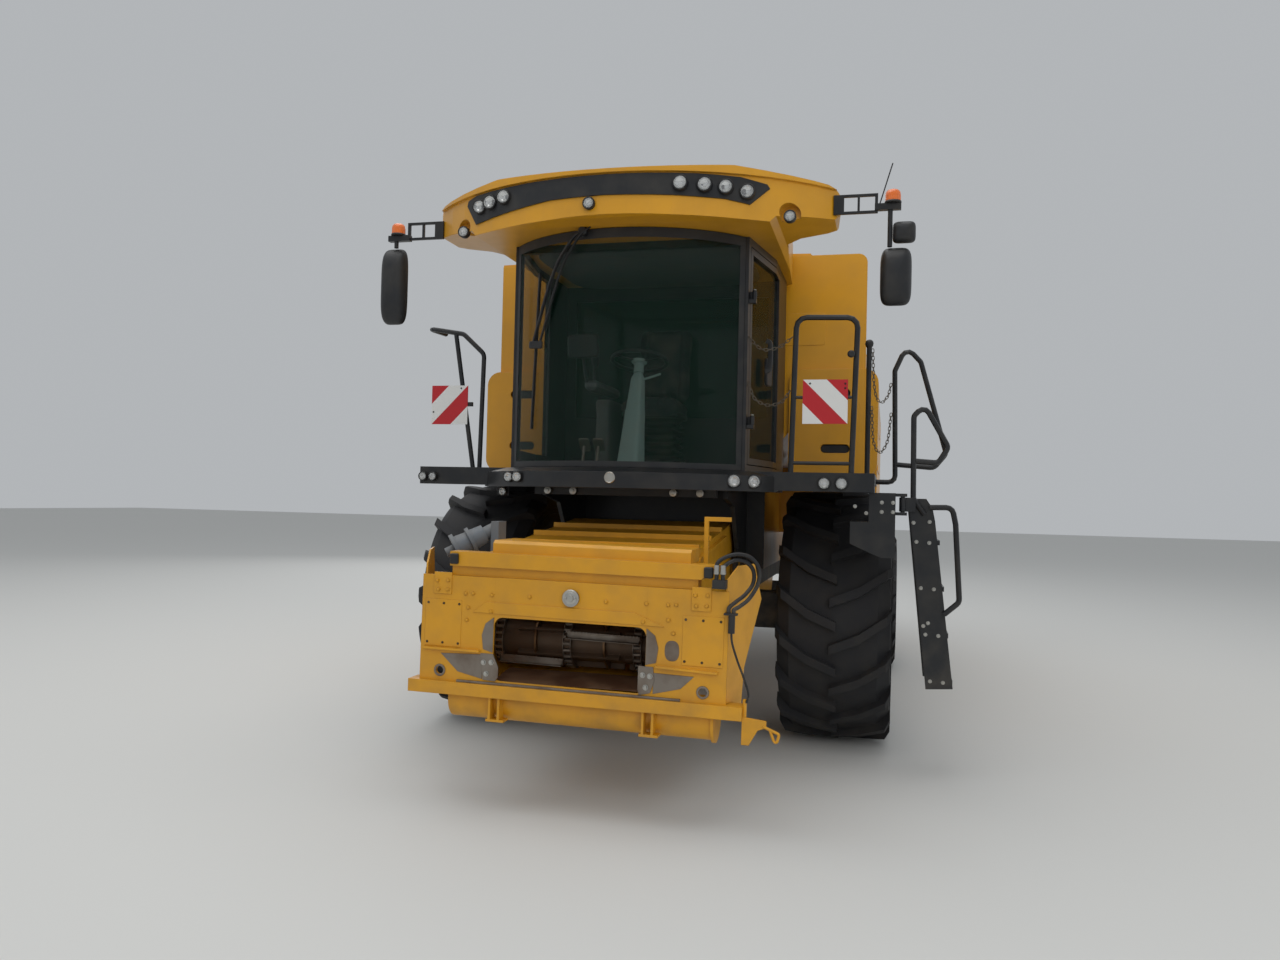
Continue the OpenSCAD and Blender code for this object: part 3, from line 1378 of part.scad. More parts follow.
on_machine() chassis();
on_machine() front_axle();
on_machine() difference() {
    threshing_body(); feeder_bearing_holes(); }
on_machine() drive_pulleys();
on_machine() grain_tank();
on_machine() tank_lid(lid_middle + 4, lid_left_x, lid_left_x);  // tank_lid_left
on_machine() tank_lid(lid_right_x, lid_middle - 4,  // tank_lid_right
    lid_right_x);
on_machine() side_structure();
on_machine() side_shield();  // side_shield_left
on_machine() mirror([1, 0, 0]) side_shield();  // side_shield_right
on_machine() engine_block();
on_machine() engine_hood();
on_machine() dust_screen();
on_machine() rear_hood();
on_machine() straw_chopper();
on_machine() auger_tube();
on_machine() auger_spout();
on_machine() cab_floor();
on_machine() cab_frame();
on_machine() cab_roof();
on_machine() lamp_band();
on_machine() windscreen();
on_machine() side_windows();
on_machine() cab_door();
on_machine() door_glass();
on_machine() seat_base();
on_machine() seat_cushions();
on_machine() steering_column();
on_machine() platforms();
on_machine() handrails();
on_machine() warning_boards();
on_machine() work_lamps();
on_machine() mirror_arms();
on_machine() mirror_heads();
on_machine() beacons();
on_machine() ladder();
on_machine() feeder_house();
on_machine() feeder_face();
on_machine() feeder_drum();
on_machine() lift_barrels();
on_machine() lift_rods();
on_machine() wear_plates();
on_machine() hose_coupler();
on_machine() feeder_hoses();
on_machine() header_shaft();
on_machine() gate_chains();
on_machine() exhaust();
on_machine() rear_axle();
on_machine() knuckle();  // knuckle_left
on_machine() mirror([1, 0, 0]) knuckle();  // knuckle_right
on_machine() tie_rod();
on_machine() at_wheel(1, true) tyre(front_tyre_r,  // tyre_front_left
    front_tyre_w, front_rim_r);
on_machine() at_wheel(-1, true) tyre(front_tyre_r,  // tyre_front_right
    front_tyre_w, front_rim_r);
on_machine() at_wheel(1, true) rim(front_rim_r, front_tyre_w,  // rim_front_left
    front_hub_r, front_dish);
on_machine() at_wheel(-1, true) rim(front_rim_r,  // rim_front_right
    front_tyre_w, front_hub_r, front_dish);
on_machine() at_wheel(1, false) tyre(rear_tyre_r,  // tyre_rear_left
    rear_tyre_w, rear_rim_r);
on_machine() at_wheel(-1, false) tyre(rear_tyre_r,  // tyre_rear_right
    rear_tyre_w, rear_rim_r);
on_machine() at_wheel(1, false) rim(rear_rim_r, rear_tyre_w,  // rim_rear_left
    rear_hub_r, rear_dish);
on_machine() at_wheel(-1, false) rim(rear_rim_r, rear_tyre_w,  // rim_rear_right
    rear_hub_r, rear_dish);
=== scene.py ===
# %% [markdown]
# A combine harvester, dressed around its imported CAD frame.
# The CAD gives every solid that carries, turns or fastens. This script gives those solids
# their finishes and adds the small things that a person sees when they walk round the machine.
# Each new piece is a surface that numpy works out as whole arrays, so its formula can be read.

# %% Load the frame
import math

import bmesh
import bpy
import numpy as np
from mathutils import Matrix, Vector


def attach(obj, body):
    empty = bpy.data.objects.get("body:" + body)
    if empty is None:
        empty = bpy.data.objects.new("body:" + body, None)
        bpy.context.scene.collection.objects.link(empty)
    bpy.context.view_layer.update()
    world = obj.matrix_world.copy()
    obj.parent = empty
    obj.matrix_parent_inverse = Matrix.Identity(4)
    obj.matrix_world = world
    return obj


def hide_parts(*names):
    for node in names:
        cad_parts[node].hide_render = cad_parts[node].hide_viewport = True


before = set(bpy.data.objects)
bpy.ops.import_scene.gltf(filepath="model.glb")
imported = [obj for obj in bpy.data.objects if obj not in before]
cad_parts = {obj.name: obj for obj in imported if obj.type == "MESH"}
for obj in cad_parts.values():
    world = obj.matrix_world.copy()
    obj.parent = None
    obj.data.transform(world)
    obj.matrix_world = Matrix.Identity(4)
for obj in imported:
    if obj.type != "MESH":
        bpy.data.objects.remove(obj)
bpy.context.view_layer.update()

# %% [markdown]
# The machine is measured from its middle plane and from a cross plane 0.15 m ahead of the front
# axle, but the frame's origin is the middle of the whole box. One constant joins the two.

# %% Places as measured on the machine
MACHINE_ZERO = np.array([0.178, 2.2, 0.0])
FORWARD = np.array([0.0, -1.0, 0.0])
UPWARD = np.array([0.0, 0.0, 1.0])
SIDEWAYS = np.array([1.0, 0.0, 0.0])


def here(*points):
    """Places as measured on the machine, as an array of points in the frame."""
    return np.array(points, float) - MACHINE_ZERO


def spot(x, y, z):
    """One place as measured on the machine, in the frame."""
    return here((x, y, z))[0]


def linked(name, data):
    """A new object of the scene that holds this data."""
    made = bpy.data.objects.new(name, data)
    bpy.context.scene.collection.objects.link(made)
    return made


# %% [markdown]
# A camera sees the machine from the front, a little to its left and at the height of a
# person's eyes. Its place and turn come from matching known sizes, such as the tyres.

# %% Camera
EYE = spot(1.684, -7.439, 1.759)
YAW, PITCH, ROLL = np.radians([14.25, 1.095, 1.337])
forward = np.array([-np.sin(YAW) * np.cos(PITCH), np.cos(YAW) * np.cos(PITCH), np.sin(PITCH)])
level = np.array([np.cos(YAW), np.sin(YAW), 0.0])
upright = np.cross(level, forward)
right = level * np.cos(ROLL) + upright * np.sin(ROLL)
up = upright * np.cos(ROLL) - level * np.sin(ROLL)
camera = linked("camera", bpy.data.cameras.new("camera"))
camera.matrix_world = Matrix.Translation(Vector(EYE)) @ Matrix([right, up, -forward]).transposed().to_4x4()
camera.data.sensor_width = 36.0
camera.data.lens = 27.34
camera.data.clip_end = 200.0
bpy.context.scene.camera = camera
print("camera at", np.round(camera.matrix_world.translation, 3))

# %% [markdown]
# Every finish is a small tree of shader nodes. Four short calls write such a tree: a new
# material with its shader, a node's inputs filled with values or links, a new node, and a sum.

# %% Short calls for materials
def blank_material(name):
    """A new material with nodes, and its Principled shader."""
    made = bpy.data.materials.new(name)
    made.use_nodes = True
    return made, made.node_tree.nodes["Principled BSDF"]


def feed(node, inputs):
    """Fills a node's inputs: another node's output is linked, anything else is the input's value."""
    for key, value in inputs.items():
        if isinstance(value, bpy.types.NodeSocket):
            node.id_data.links.new(value, node.inputs[key])
        else:
            node.inputs[key].default_value = value


def added(shader, kind, inputs, output=0, **settings):
    """The named output of a new node in this shader's tree, made with these settings and inputs."""
    made = shader.id_data.nodes.new("ShaderNode" + kind)
    for key, value in settings.items():
        setattr(made, key, value)
    feed(made, inputs)
    return made.outputs[output]


def maths(shader, operation, *inputs):
    """The output of a new Math node, its inputs in their order."""
    return added(shader, "Math", dict(enumerate(inputs)), operation=operation)


# %% [markdown]
# A studio for a big machine is a pale floor with one wide soft light overhead, a second one
# from the front and an even pale sky. Shadows stay soft, and colours come out about as written.

# %% Floor, lights and sky
floor_mesh = bpy.data.meshes.new("floor")
floor_mesh.from_pydata([(-60, -60, 0), (60, -60, 0), (60, 60, 0), (-60, 60, 0)], [], [(0, 1, 2, 3)])
floor = linked("floor", floor_mesh)
floor_finish, floor_shader = blank_material("pale floor")
feed(floor_shader, {"Base Color": (0.62, 0.62, 0.6, 1), "Roughness": 0.9})
floor_mesh.materials.append(floor_finish)


def soft_light(name, place, target, size, power, glossy=True):
    """A square lamp of that size, turned so that it shines from place towards target."""
    data = bpy.data.lights.new(name, "AREA")
    data.size, data.energy = size, power
    lamp = linked(name, data)
    lamp.location = place
    lamp.rotation_mode = "QUATERNION"
    lamp.rotation_quaternion = (Vector(target) - Vector(place)).to_track_quat("-Z", "Y")
    lamp.visible_glossy = glossy


soft_light("overhead", (-2.0, -3.0, 14.0), (0, 0, 1), 14.0, 1050)
soft_light("front", (7.0, -15.0, 7.0), (0, 0, 2), 9.0, 520, glossy=False)
soft_light("back", (-8.0, 14.0, 8.0), (0, 0, 2), 9.0, 360)
sky = bpy.data.worlds.new("pale sky")
sky.use_nodes = True
feed(sky.node_tree.nodes["Background"], {"Color": (0.8, 0.83, 0.86, 1), "Strength": 0.56})
bpy.context.scene.world = sky
bpy.context.scene.view_settings.view_transform = "Standard"
print("lights:", len(bpy.data.lights))

# %% [markdown]
# Paint on a farm machine isn't one flat colour: dust lies on it in soft clouds and gathers low
# down, and fine grain breaks the gloss. One builder makes paint, plastic, steel and rubber.

# %% A builder of finishes
CLOUD_SHADE = 0.12


def finish(
    name, base, rough, metal=0.0, coat=0.0, dust=0.25, dust_colour=(0.3, 0.25, 0.18), low=None, grain=0.0,
    grain_size=900, round_edge=0.004, alpha=1.0):
    """A Principled surface: base colour clouded by noise, dust mixed in by noise and, with
    low = (height where it ends, height where it is thickest, share), by height, and fine bump."""
    material, shader = blank_material(name)
    place = added(shader, "TexCoord", {}, "Object")

    def noise(scale, detail):
        return added(shader, "TexNoise", {"Vector": place, "Scale": scale, "Detail": detail}, "Fac")

    def spread(value, start, end, low_end=0.0, high_end=1.0):
        return added(
            shader, "MapRange", {"Value": value, "From Min": start, "From Max": end, "To Min": low_end,
            "To Max": high_end}, "Result")

    def mixed(share, a, b):
        return added(shader, "Mix", {"Factor": share, "A": a, "B": b}, "Result", data_type="RGBA")

    darker = tuple(c * (1 - CLOUD_SHADE) for c in base) + (1,)
    colour = mixed(spread(noise(1.7, 4), 0.35, 0.65), darker, base + (1,))
    clouds = spread(noise(7.0, 8), 0.42, 0.72)
    share = maths(shader, "MULTIPLY", clouds, dust)
    if low is not None:
        end, thickest, most = low
        height = added(shader, "SeparateXYZ", {"Vector": place}, "Z")
        near_ground = maths(shader, "MULTIPLY", spread(height, end, thickest), clouds)
        share = maths(shader, "MAXIMUM", share, maths(shader, "MULTIPLY", near_ground, most))
    feed(
        shader, {"Base Color": mixed(share, colour, dust_colour + (1,)), "Alpha": alpha,
        "Roughness": spread(share, 0.0, 1.0, rough, 0.95), "Metallic": metal, "Coat Weight": coat,
        "Coat Roughness": 0.2})
    relief = {}
    if round_edge:
        relief["Normal"] = added(shader, "Bevel", {"Radius": round_edge}, "Normal", samples=4)
    if grain:
        bump = {"Strength": grain, "Distance": 0.001, "Height": noise(grain_size, 3)}
        relief["Normal"] = added(shader, "Bump", bump | relief, "Normal")
    feed(shader, relief)
    return material


YELLOW = (0.68, 0.32, 0.012)
BROWN_DUST = (0.26, 0.15, 0.055)
RUST_DUST = (0.16, 0.085, 0.045)
yellow_paint = finish(
    "warm yellow enamel", YELLOW, 0.34, coat=0.25, dust=0.1, dust_colour=BROWN_DUST, low=(1.6, 0.5, 0.35),
    grain=0.06, grain_size=350, round_edge=0.006)
feeder_paint = finish(
    "worn yellow enamel", YELLOW, 0.42, coat=0.1, dust=0.22, dust_colour=BROWN_DUST, low=(1.3, 0.5, 0.45),
    grain=0.1, grain_size=260, round_edge=0.005)
satin_black = finish(
    "satin black paint", (0.01, 0.011, 0.013), 0.36, dust=0.05, low=(1.4, 0.4, 0.16), grain=0.05)
black_plastic = finish(
    "moulded black plastic", (0.014, 0.015, 0.017), 0.46, dust=0.06, grain=0.18, grain_size=700)
dusty_steel = finish(
    "dusty dark steel", (0.05, 0.05, 0.05), 0.6, metal=0.4, dust=0.45, grain=0.2, low=(1.3, 0.3, 0.6))
worked_steel = finish(
    "bare worked steel", (0.3, 0.26, 0.22), 0.45, metal=0.9, dust=0.5, dust_colour=RUST_DUST, grain=0.25,
    grain_size=300)
zinc = finish("zinc plated steel", (0.55, 0.54, 0.5), 0.35, metal=1.0, dust=0.2, round_edge=0)
chromed = finish("polished rod", (0.75, 0.75, 0.76), 0.12, metal=1.0, dust=0.05, round_edge=0)
tyre_rubber = finish(
    "tyre rubber", (0.016, 0.016, 0.018), 0.7, dust=0.18, dust_colour=(0.075, 0.065, 0.05),
    low=(0.8, 0.0, 0.4), grain=0.35, grain_size=220, round_edge=0.008)
cab_trim = finish("grey cab trim", (0.1, 0.11, 0.11), 0.6, dust=0.2, grain=0.3, grain_size=500)
column_trim = finish("green grey column trim", (0.22, 0.32, 0.29), 0.55, dust=0.2, grain=0.2, grain_size=500)
amber = finish("amber lens", (0.8, 0.16, 0.012), 0.15, coat=0.6, dust=0.05, round_edge=0)
lens = finish("clear lamp lens", (0.8, 0.82, 0.84), 0.05, coat=0.5, dust=0.05, round_edge=0, alpha=0.25)
hose_rubber = finish("black hose rubber", (0.012, 0.012, 0.013), 0.42, dust=0.2, grain=0.25, round_edge=0)
guard_grey = finish("grey guard plastic", (0.16, 0.18, 0.2), 0.5, dust=0.3, grain=0.2, grain_size=500)
rope_steel = finish("brown chain steel", (0.16, 0.135, 0.11), 0.5, metal=0.7, dust=0.3, round_edge=0)
drum_steel = finish(
    "brown drum steel", (0.13, 0.085, 0.055), 0.5, metal=0.6, dust=0.5, dust_colour=RUST_DUST, grain=0.25,
    grain_size=300)
floor_mat = finish(
    "pale rubber mat", (0.22, 0.27, 0.24), 0.8, dust=0.3, grain=0.3, grain_size=300, round_edge=0)
print("finishes:", len(bpy.data.materials))

# %% [markdown]
# Cab glass has a green tint and lets most light through, so its surface is smooth with a low
# alpha. The rear pane covers more of what lies behind it, as painted shade over the tank wall there.

# %% Tinted glass
def tint(name, alpha):
    """A smooth green pane that covers this share of what lies behind it."""
    made, pane = blank_material(name)
    feed(
        pane, {"Base Color": (0.006, 0.024, 0.015, 1), "Roughness": 0.02, "Alpha": alpha, "IOR": 1.5,
        "Specular IOR Level": 0.3})
    return made


tinted = tint("green tinted glass", 0.22)
# painted shade: the rear pane's dark glass covers most of the tank wall behind the cab
painted_shade_tint = tint("green glass with painted shade", 0.88)
print("panes:", tinted.name, painted_shade_tint.name)

# %% [markdown]
# A warning board is one square of reflecting sheet with slanting red and white bars. The
# bars are worked out in the material from x and z, so no picture is needed.

# %% Striped sheet
STRIPE_PERIOD = 0.299


def striped(name, lean, offset):
    """Red and pale bars, square to (1, lean) in the x, z plane: the sheet is pale where the
    fraction of (x + lean z) / STRIPE_PERIOD + offset is more than a half. 40 keeps it positive."""
    material, shader = blank_material(name)
    x = added(shader, "SeparateXYZ", {"Vector": added(shader, "TexCoord", {}, "Object")}, "X")
    across = maths(shader, "MULTIPLY_ADD", x.node.outputs["Z"], lean, x)
    scaled = maths(shader, "MULTIPLY_ADD", across, 1 / STRIPE_PERIOD, 40 + offset)
    bar = maths(shader, "GREATER_THAN", maths(shader, "FRACT", scaled), 0.5)
    colour = added(
        shader, "Mix", {"Factor": bar, "A": (0.45, 0.014, 0.02, 1), "B": (0.68, 0.68, 0.66, 1)}, "Result",
        data_type="RGBA")
    feed(shader, {"Base Color": colour, "Roughness": 0.35})
    return material


left_stripes = striped("stripes falling to the right", 1.0, 0.734)
right_stripes = striped("stripes rising to the right", -1.0, 0.381)
print("stripes:", STRIPE_PERIOD, "m a pair")

# %% [markdown]
# The CAD solids keep their shapes. Each one only gets a finish, by what it is made of. Four
# nodes get a second one, on the faces whose middles a short rule picks out; on the threshing body's front and
# the rear pane that second finish is painted shade.

# %% Finishes for the CAD solids
NODES_OF = (
    (feeder_paint, "feeder_house feeder_face"), (drum_steel, "feeder_drum"), (worked_steel, "wear_plates"),
    (dusty_steel, "chassis front_axle rear_axle knuckle_left knuckle_right tie_rod drive_pulleys "
                  "engine_block dust_screen exhaust"),
    (satin_black, "lift_barrels cab_frame cab_door platforms handrails mirror_arms ladder straw_chopper"),
    (black_plastic, "lamp_band mirror_heads auger_spout cab_floor hose_coupler"),
    (tinted, "windscreen side_windows door_glass"), (left_stripes, "warning_boards"),
    (chromed, "lift_rods"), (lens, "work_lamps"), (amber, "beacons"), (hose_rubber, "feeder_hoses"),
    (guard_grey, "header_shaft"), (rope_steel, "gate_chains"), (cab_trim, "seat_base seat_cushions"),
    (column_trim, "steering_column"))
SECOND_FINISH = {
    # the threshing body's front faces are satin black: painted shade over the yellow body
    "threshing_body": (satin_black, lambda middle: middle.y < -2.255),
    "cab_floor": (floor_mat, lambda middle: middle.z > 1.949),
    # the rear pane of the side windows is nearly opaque dark glass: painted shade
    "side_windows": (painted_shade_tint, lambda middle: middle.y > -2.2),
    "warning_boards": (right_stripes, lambda middle: middle.x <= 0)}
finish_of = {name: surface for surface, names in NODES_OF for name in names.split()}
for name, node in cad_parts.items():
    surface = tyre_rubber if name.startswith("tyre") else finish_of.get(name, yellow_paint)
    node.data.materials.clear()
    node.data.materials.append(surface)
for name, (surface, rule) in SECOND_FINISH.items():
    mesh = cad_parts[name].data
    mesh.materials.append(surface)
    for face in mesh.polygons:
        face.material_index = int(rule(face.center))
print("nodes finished:", len(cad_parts))

# %% [markdown]
# New pieces are surfaces. A surface is a table of points and a table of faces, and numpy works
# out both as whole arrays: points by a formula in two parameters, faces from the grid's numbers.

# %% Helpers for surfaces
def turns(count):
    """Angles that share a full turn evenly."""
    return np.arange(count) * 2 * np.pi / count


def grid_faces(rows, columns, wrap=False):
    """Quads between rings of points numbered ring by ring. With wrap the last ring meets the first."""
    number = np.arange(rows * columns).reshape(rows, columns)
    below = np.roll(number, -1, axis=0)[:rows if wrap else rows - 1]
    above = number[:len(below)]
    corners = [above, np.roll(above, -1, axis=1), np.roll(below, -1, axis=1), below]
    return np.stack(corners, axis=2).reshape(-1, 4)


def skin(rings, wrap=False):
    """Rings of equally many points as a shape."""
    rings = np.array(rings)
    return rings.reshape(-1, 3), grid_faces(*rings.shape[:2], wrap)


def capped(rings, ends=None):
    """A skin whose end rings close to one point each: the given ones, or the middles of the rings."""
    ends = rings[[0, -1]].mean(axis=1) if ends is None else ends
    first, last = np.repeat(ends[:, None, None], rings.shape[1], axis=2)
    return skin(np.vstack([first, rings, last]))


def lathe(profile, steps=24, closed=False):
    """Turns (radius, height) pairs about z: point = (r cos a, r sin a, h) for each angle a."""
    r, h = np.array(profile, float).T[:, :, None]
    a = turns(steps)
    return skin(np.stack([r * np.cos(a), r * np.sin(a), h + 0 * a], axis=2), closed)


def aimed(shape, centre, axis=FORWARD):
    """Turns a shape so that its z points along axis, and moves it to centre."""
    z = np.array(axis, float) / np.linalg.norm(axis)
    side = UPWARD if abs(z[2]) < 0.9 else -FORWARD
    x = np.cross(side, z) / np.linalg.norm(np.cross(side, z))
    return shape[0] @ np.array([x, np.cross(z, x), z]) + np.array(centre, float), shape[1]


def flow(points, steps=6):
    """A smooth path through points: on each stretch, the cubic whose ends lean as their neighbours do."""
    p = np.array(points, float)
    p = np.vstack([2 * p[0] - p[1], p, 2 * p[-1] - p[-2]])
    t = (np.arange(steps) / steps)[None, :, None]
    a, b, c, d = (p[i:len(p) - 3 + i][:, None, :] for i in range(4))
    curve = 0.5 * (2 * b + (c - a) * t + (2 * a - 5 * b + 4 * c - d) * t**2 + (3 * b - a - 3 * c + d) * t**3)
    return np.vstack([curve.reshape(-1, 3), p[-2]])


def frames(path):
    """Directions of a path and two sides square to each, the first side kept as near upright as can be."""
    ahead = np.gradient(path, axis=0)
    ahead /= np.linalg.norm(ahead, axis=1)[:, None]
    upward = UPWARD if np.abs(ahead[:, 2]).max() < 0.95 else np.array([0.31, 0.95, 0.02])
    side = np.cross(ahead, upward)
    side /= np.linalg.norm(side, axis=1)[:, None]
    return ahead, side, np.cross(side, ahead)


def carried(path, section, sizes=1.0):
    """A closed section of (side, up) pairs carried along a path: point = path + size (side u + up v),
    ends closed."""
    path, section = np.array(path, float), np.array(section, float)
    sizes = np.broadcast_to(sizes, len(path))[:, None, None]
    _, side, up_side = frames(path)
    spread_out = side[:, None] * section[:, :1] + up_side[:, None] * section[:, 1:]
    return capped(path[:, None] + sizes * spread_out, path[[0, -1]])


def round_section(radius, sides=10):
    """A circle as pairs."""
    return radius * np.stack([np.cos(turns(sides)), np.sin(turns(sides))], axis=1)


def flat_section(width, height, corner=0.25, sides=16):
    """A rounded bar as (side, up) pairs: cosine and sine raised to the power corner, with their signs."""
    angle = (np.arange(sides) + 0.5) * 2 * np.pi / sides
    circle = np.stack([np.cos(angle), np.sin(angle)], axis=1)
    return np.array([width, height]) / 2 * np.sign(circle) * np.abs(circle)**corner


def stacked(outline, levels):
    """One outline at each (size, height): point = (size x, size y, height)."""
    return skin([np.column_stack([outline * size, np.full(len(outline), height)]) for size, height in levels])


def pad(width, height, depth, edge, corner=0.3, sides=32, crown=0.0):
    """A rounded slab on z = 0: rings of one outline, drawn in by edge at both faces and crowned on top."""
    size = np.array([width, height])
    inner = size - 2 * edge
    return stacked(
        flat_section(1.0, 1.0, corner, sides), [(0.0, 0.0), (inner, 0.0), (size, edge), (size, depth - edge),
        (inner, depth), (inner * 0.6, depth + crown * 0.75), (0.0, depth + crown)])


def joined(*shapes):
    """Several shapes as one: their points one after the other, and their faces renumbered."""
    starts = np.cumsum([0] + [len(points) for points, _ in shapes[:-1]])
    numbers = [faces + start for (_, faces), start in zip(shapes, starts)]
    return np.vstack([points for points, _ in shapes]), np.vstack(numbers)


def copies(points, faces):
    """Copies of a shape from their points, an array of (copy, point, xyz), with the faces renumbered."""
    numbers = faces[None] + points.shape[1] * np.arange(len(points))[:, None, None]
    return points.reshape(-1, 3), numbers.reshape(-1, faces.shape[1])


def repeated(shape, places):
    """Copies of a shape moved by each place."""
    return copies(shape[0][None] + np.array(places, float)[:, None], shape[1])


def about_x(shape, centre, angles):
    """Copies of a shape turned about the x axis through centre: y and z rotate by each angle."""
    c, s = np.cos(angles)[:, None], np.sin(angles)[:, None]
    x, y, z = shape[0].T[:, None]
    points, faces = copies(np.stack([x + 0 * c, y * c - z * s, y * s + z * c], axis=2), shape[1])
    return points + centre, faces


def piece(name, shape, surface, body="machine", replaces=(), sharp=35.0):
    """A mesh object from a shape: doubles merged, faces outwards, edges over `sharp` degrees kept crisp."""
    points, faces = shape
    mesh = bpy.data.meshes.new(name)
    mesh.from_pydata(points.tolist(), [], faces.tolist())
    work = bmesh.new()
    work.from_mesh(mesh)
    bmesh.ops.remove_doubles(work, verts=work.verts, dist=1e-5)
    bmesh.ops.recalc_face_normals(work, faces=work.faces)
    work.to_mesh(mesh)
    work.free()
    mesh.polygons.foreach_set("use_smooth", np.ones(len(mesh.polygons), bool))
    mesh.set_sharp_from_angle(angle=math.radians(sharp))
    mesh.materials.append(surface)
    made = linked(name, mesh)
    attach(made, body)
    if replaces:
        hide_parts(*replaces)
    print(name, len(mesh.polygons), "faces")
    return made


BOLT = joined(
    lathe([(0, 0), (0.013, 0), (0.013, 0.002), (0.0095, 0.0025)], 12),
    lathe([(0.0095, 0.002), (0.0095, 0.008), (0.008, 0.0095), (0, 0.0095)], 6))
BOX_FACES = np.array([[0, 1, 2, 3], [4, 5, 6, 7], [0, 1, 5, 4], [1, 2, 6, 5], [2, 3, 7, 6], [3, 0, 4, 7]])


def bolts(places, size=1.0):
    """Hexagon heads on round washers, all pointing forward."""
    return repeated(aimed((BOLT[0] * size, BOLT[1]), (0, 0, 0)), here(*places))


# %% [markdown]
# A work lamp is a bright bowl behind a clear lens in a dark ring. Each part is a turned profile
# that grows with the lamp's radius, and three pieces hold them all: rings, bowls and lenses.

# %% Work lamps
ROOF_Z, FLOOR_Z = 3.46, 1.95
ROOF_FRONT_R, ROOF_FRONT_Y = 1.864, -1.85
FAIRING_R, FAIRING_Y, PLATFORM_Y = 1.17, -0.57, -1.2003
LOW_LAMP_Z = FLOOR_Z - 0.068


def roof_edge_y(x):
    """The roof's front edge in plan, an arc."""
    return ROOF_FRONT_Y + ROOF_FRONT_R - np.sqrt(ROOF_FRONT_R**2 - np.square(x))


def fairing_edge_y(x):
    """The front of the fairing under the windscreen, an arc about the screen's own centre."""
    return FAIRING_Y - np.sqrt(FAIRING_R**2 - np.square(x))


BAND_LAMPS = [
    (-0.915, 0.17), (-0.823, 0.181), (-0.708, 0.194), (0.455, 0.192), (0.596, 0.188), (0.717, 0.181),
    (0.839, 0.162)]
lamp_places = [(x, roof_edge_y(x) + 0.013, ROOF_Z + z, 0.045) for x, z in BAND_LAMPS]
lamp_places += [(x, -1.47, 3.508, 0.036) for x in (-1.08, 1.08)]
lamp_places += [(-0.1, roof_edge_y(-0.1) + 0.0247, 3.544, 0.036)]
FAIRING_LAMPS = [(-0.7, 0.034), (-0.62, 0.034), (0.769, 0.043), (0.878, 0.043)]
PLATFORM_LAMPS = [(1.3, 0.038), (1.408, 0.038), (-1.39, 0.03), (-1.464, 0.03)]
lamp_places += [(x, fairing_edge_y(x) - 0.004, LOW_LAMP_Z, r) for x, r in FAIRING_LAMPS]
lamp_places += [(x, PLATFORM_Y, LOW_LAMP_Z, r) for x, r in PLATFORM_LAMPS]
lamp_places += [(-0.87, -1.1903, 1.787, 0.03)]


def lamp_part(profile, closed=False):
    """One part of every lamp, turned from (share of the lamp's radius, height) pairs."""
    return joined(
        *[aimed(lathe(np.multiply(profile, (r, 1)), 24, closed), spot(x, y, z))
        for x, y, z, r in lamp_places])


rings = lamp_part(
    [(0.86, -0.01), (1.04, -0.012), (1.08, 0.022), (1.02, 0.03), (0.9, 0.031), (0.86, 0.026)], True)
bowls = lamp_part(
    [(0, 0.004), (0.22, 0.004), (0.24, 0.01), (0.3, 0.003), (0.55, 0.007), (0.8, 0.018), (0.87, 0.025)])
lenses = lamp_part([(0, 0.031), (0.45, 0.03), (0.75, 0.028), (0.88, 0.025)])
chrome_bowl = finish("bright lamp bowl", (0.8, 0.8, 0.78), 0.18, metal=1.0, dust=0.06, round_edge=0)
piece("lamp_rings", rings, black_plastic, replaces=("work_lamps",))
piece("lamp_bowls", bowls, chrome_bowl)
piece("lamp_lenses", lenses, lens)

# %% [markdown]
# Tail lamps sit on the rear hood. Their red lenses are slabs with a slight crown; the fine upright ribs
# inside are not drawn, and the finish gives the lenses only a fine grain.

# %% Tail lamps
red_lens = finish(
    "red lamp lens", (0.42, 0.01, 0.008), 0.12, coat=0.5, dust=0.08, grain=0.25, grain_size=400, round_edge=0)
tails = [
    aimed(pad(0.112, 0.152, 0.028, 0.006, crown=0.004), spot(x, 6.5403, 1.98), -FORWARD) for x in (-0.8, 0.8)]
piece("tail_lamps", joined(*tails), red_lens)

# %% [markdown]
# A beacon is an amber dome with fine upright flutes on a dark foot. The flutes are a small
# wave of the radius with the angle, added after the profile is turned.

# %% Beacons
def fluted(profile, steps, count, depth):
    """A lathe whose radius swells by depth * cos(count * angle), except near its top."""
    points, faces = lathe(profile, steps)
    angle = np.arctan2(points[:, 1], points[:, 0])
    outer = np.hypot(points[:, 0], points[:, 1]) > 0.02
    points[:, :2] *= 1 + (depth * np.cos(count * angle) * outer)[:, None]
    return points, faces


dome = fluted(
    [(0.046, 0.012), (0.046, 0.05), (0.043, 0.068), (0.034, 0.08), (0.018, 0.086), (0, 0.088)], 96, 24, 0.02)
foot = lathe([(0, 0), (0.05, 0), (0.052, 0.006), (0.049, 0.013), (0, 0.013)], 32)
BEACONS = here((1.69, -1.27, 3.6203), (-1.676, -1.27, 3.5653))
piece("beacon_domes", repeated(dome, BEACONS), amber, replaces=("beacons",))
piece("beacon_feet", repeated(foot, BEACONS), black_plastic)

# %% [markdown]
# A mirror's housing is a soft shell: full and round towards the front, flat towards the driver.
# Its outline is a superellipse, and the glass in the flat side is the same outline, smaller.

# %% Mirrors
SHELL_CORNER, SHELL_SIDES = 0.42, 40


def mirror_shell(width, height, depth, rows=12):
    """Rings of one outline that shrink as (1 - t^2)^0.35 towards the front, the back closed flat."""
    t = np.linspace(0, 1, rows)
    levels = [(0.0, 0.006), (0.9, 0.006), (0.93, 0.0), *zip((1 - t**2) ** 0.35, 0.01 + t * (depth - 0.01))]
    return stacked(flat_section(width, height, SHELL_CORNER, SHELL_SIDES), levels)


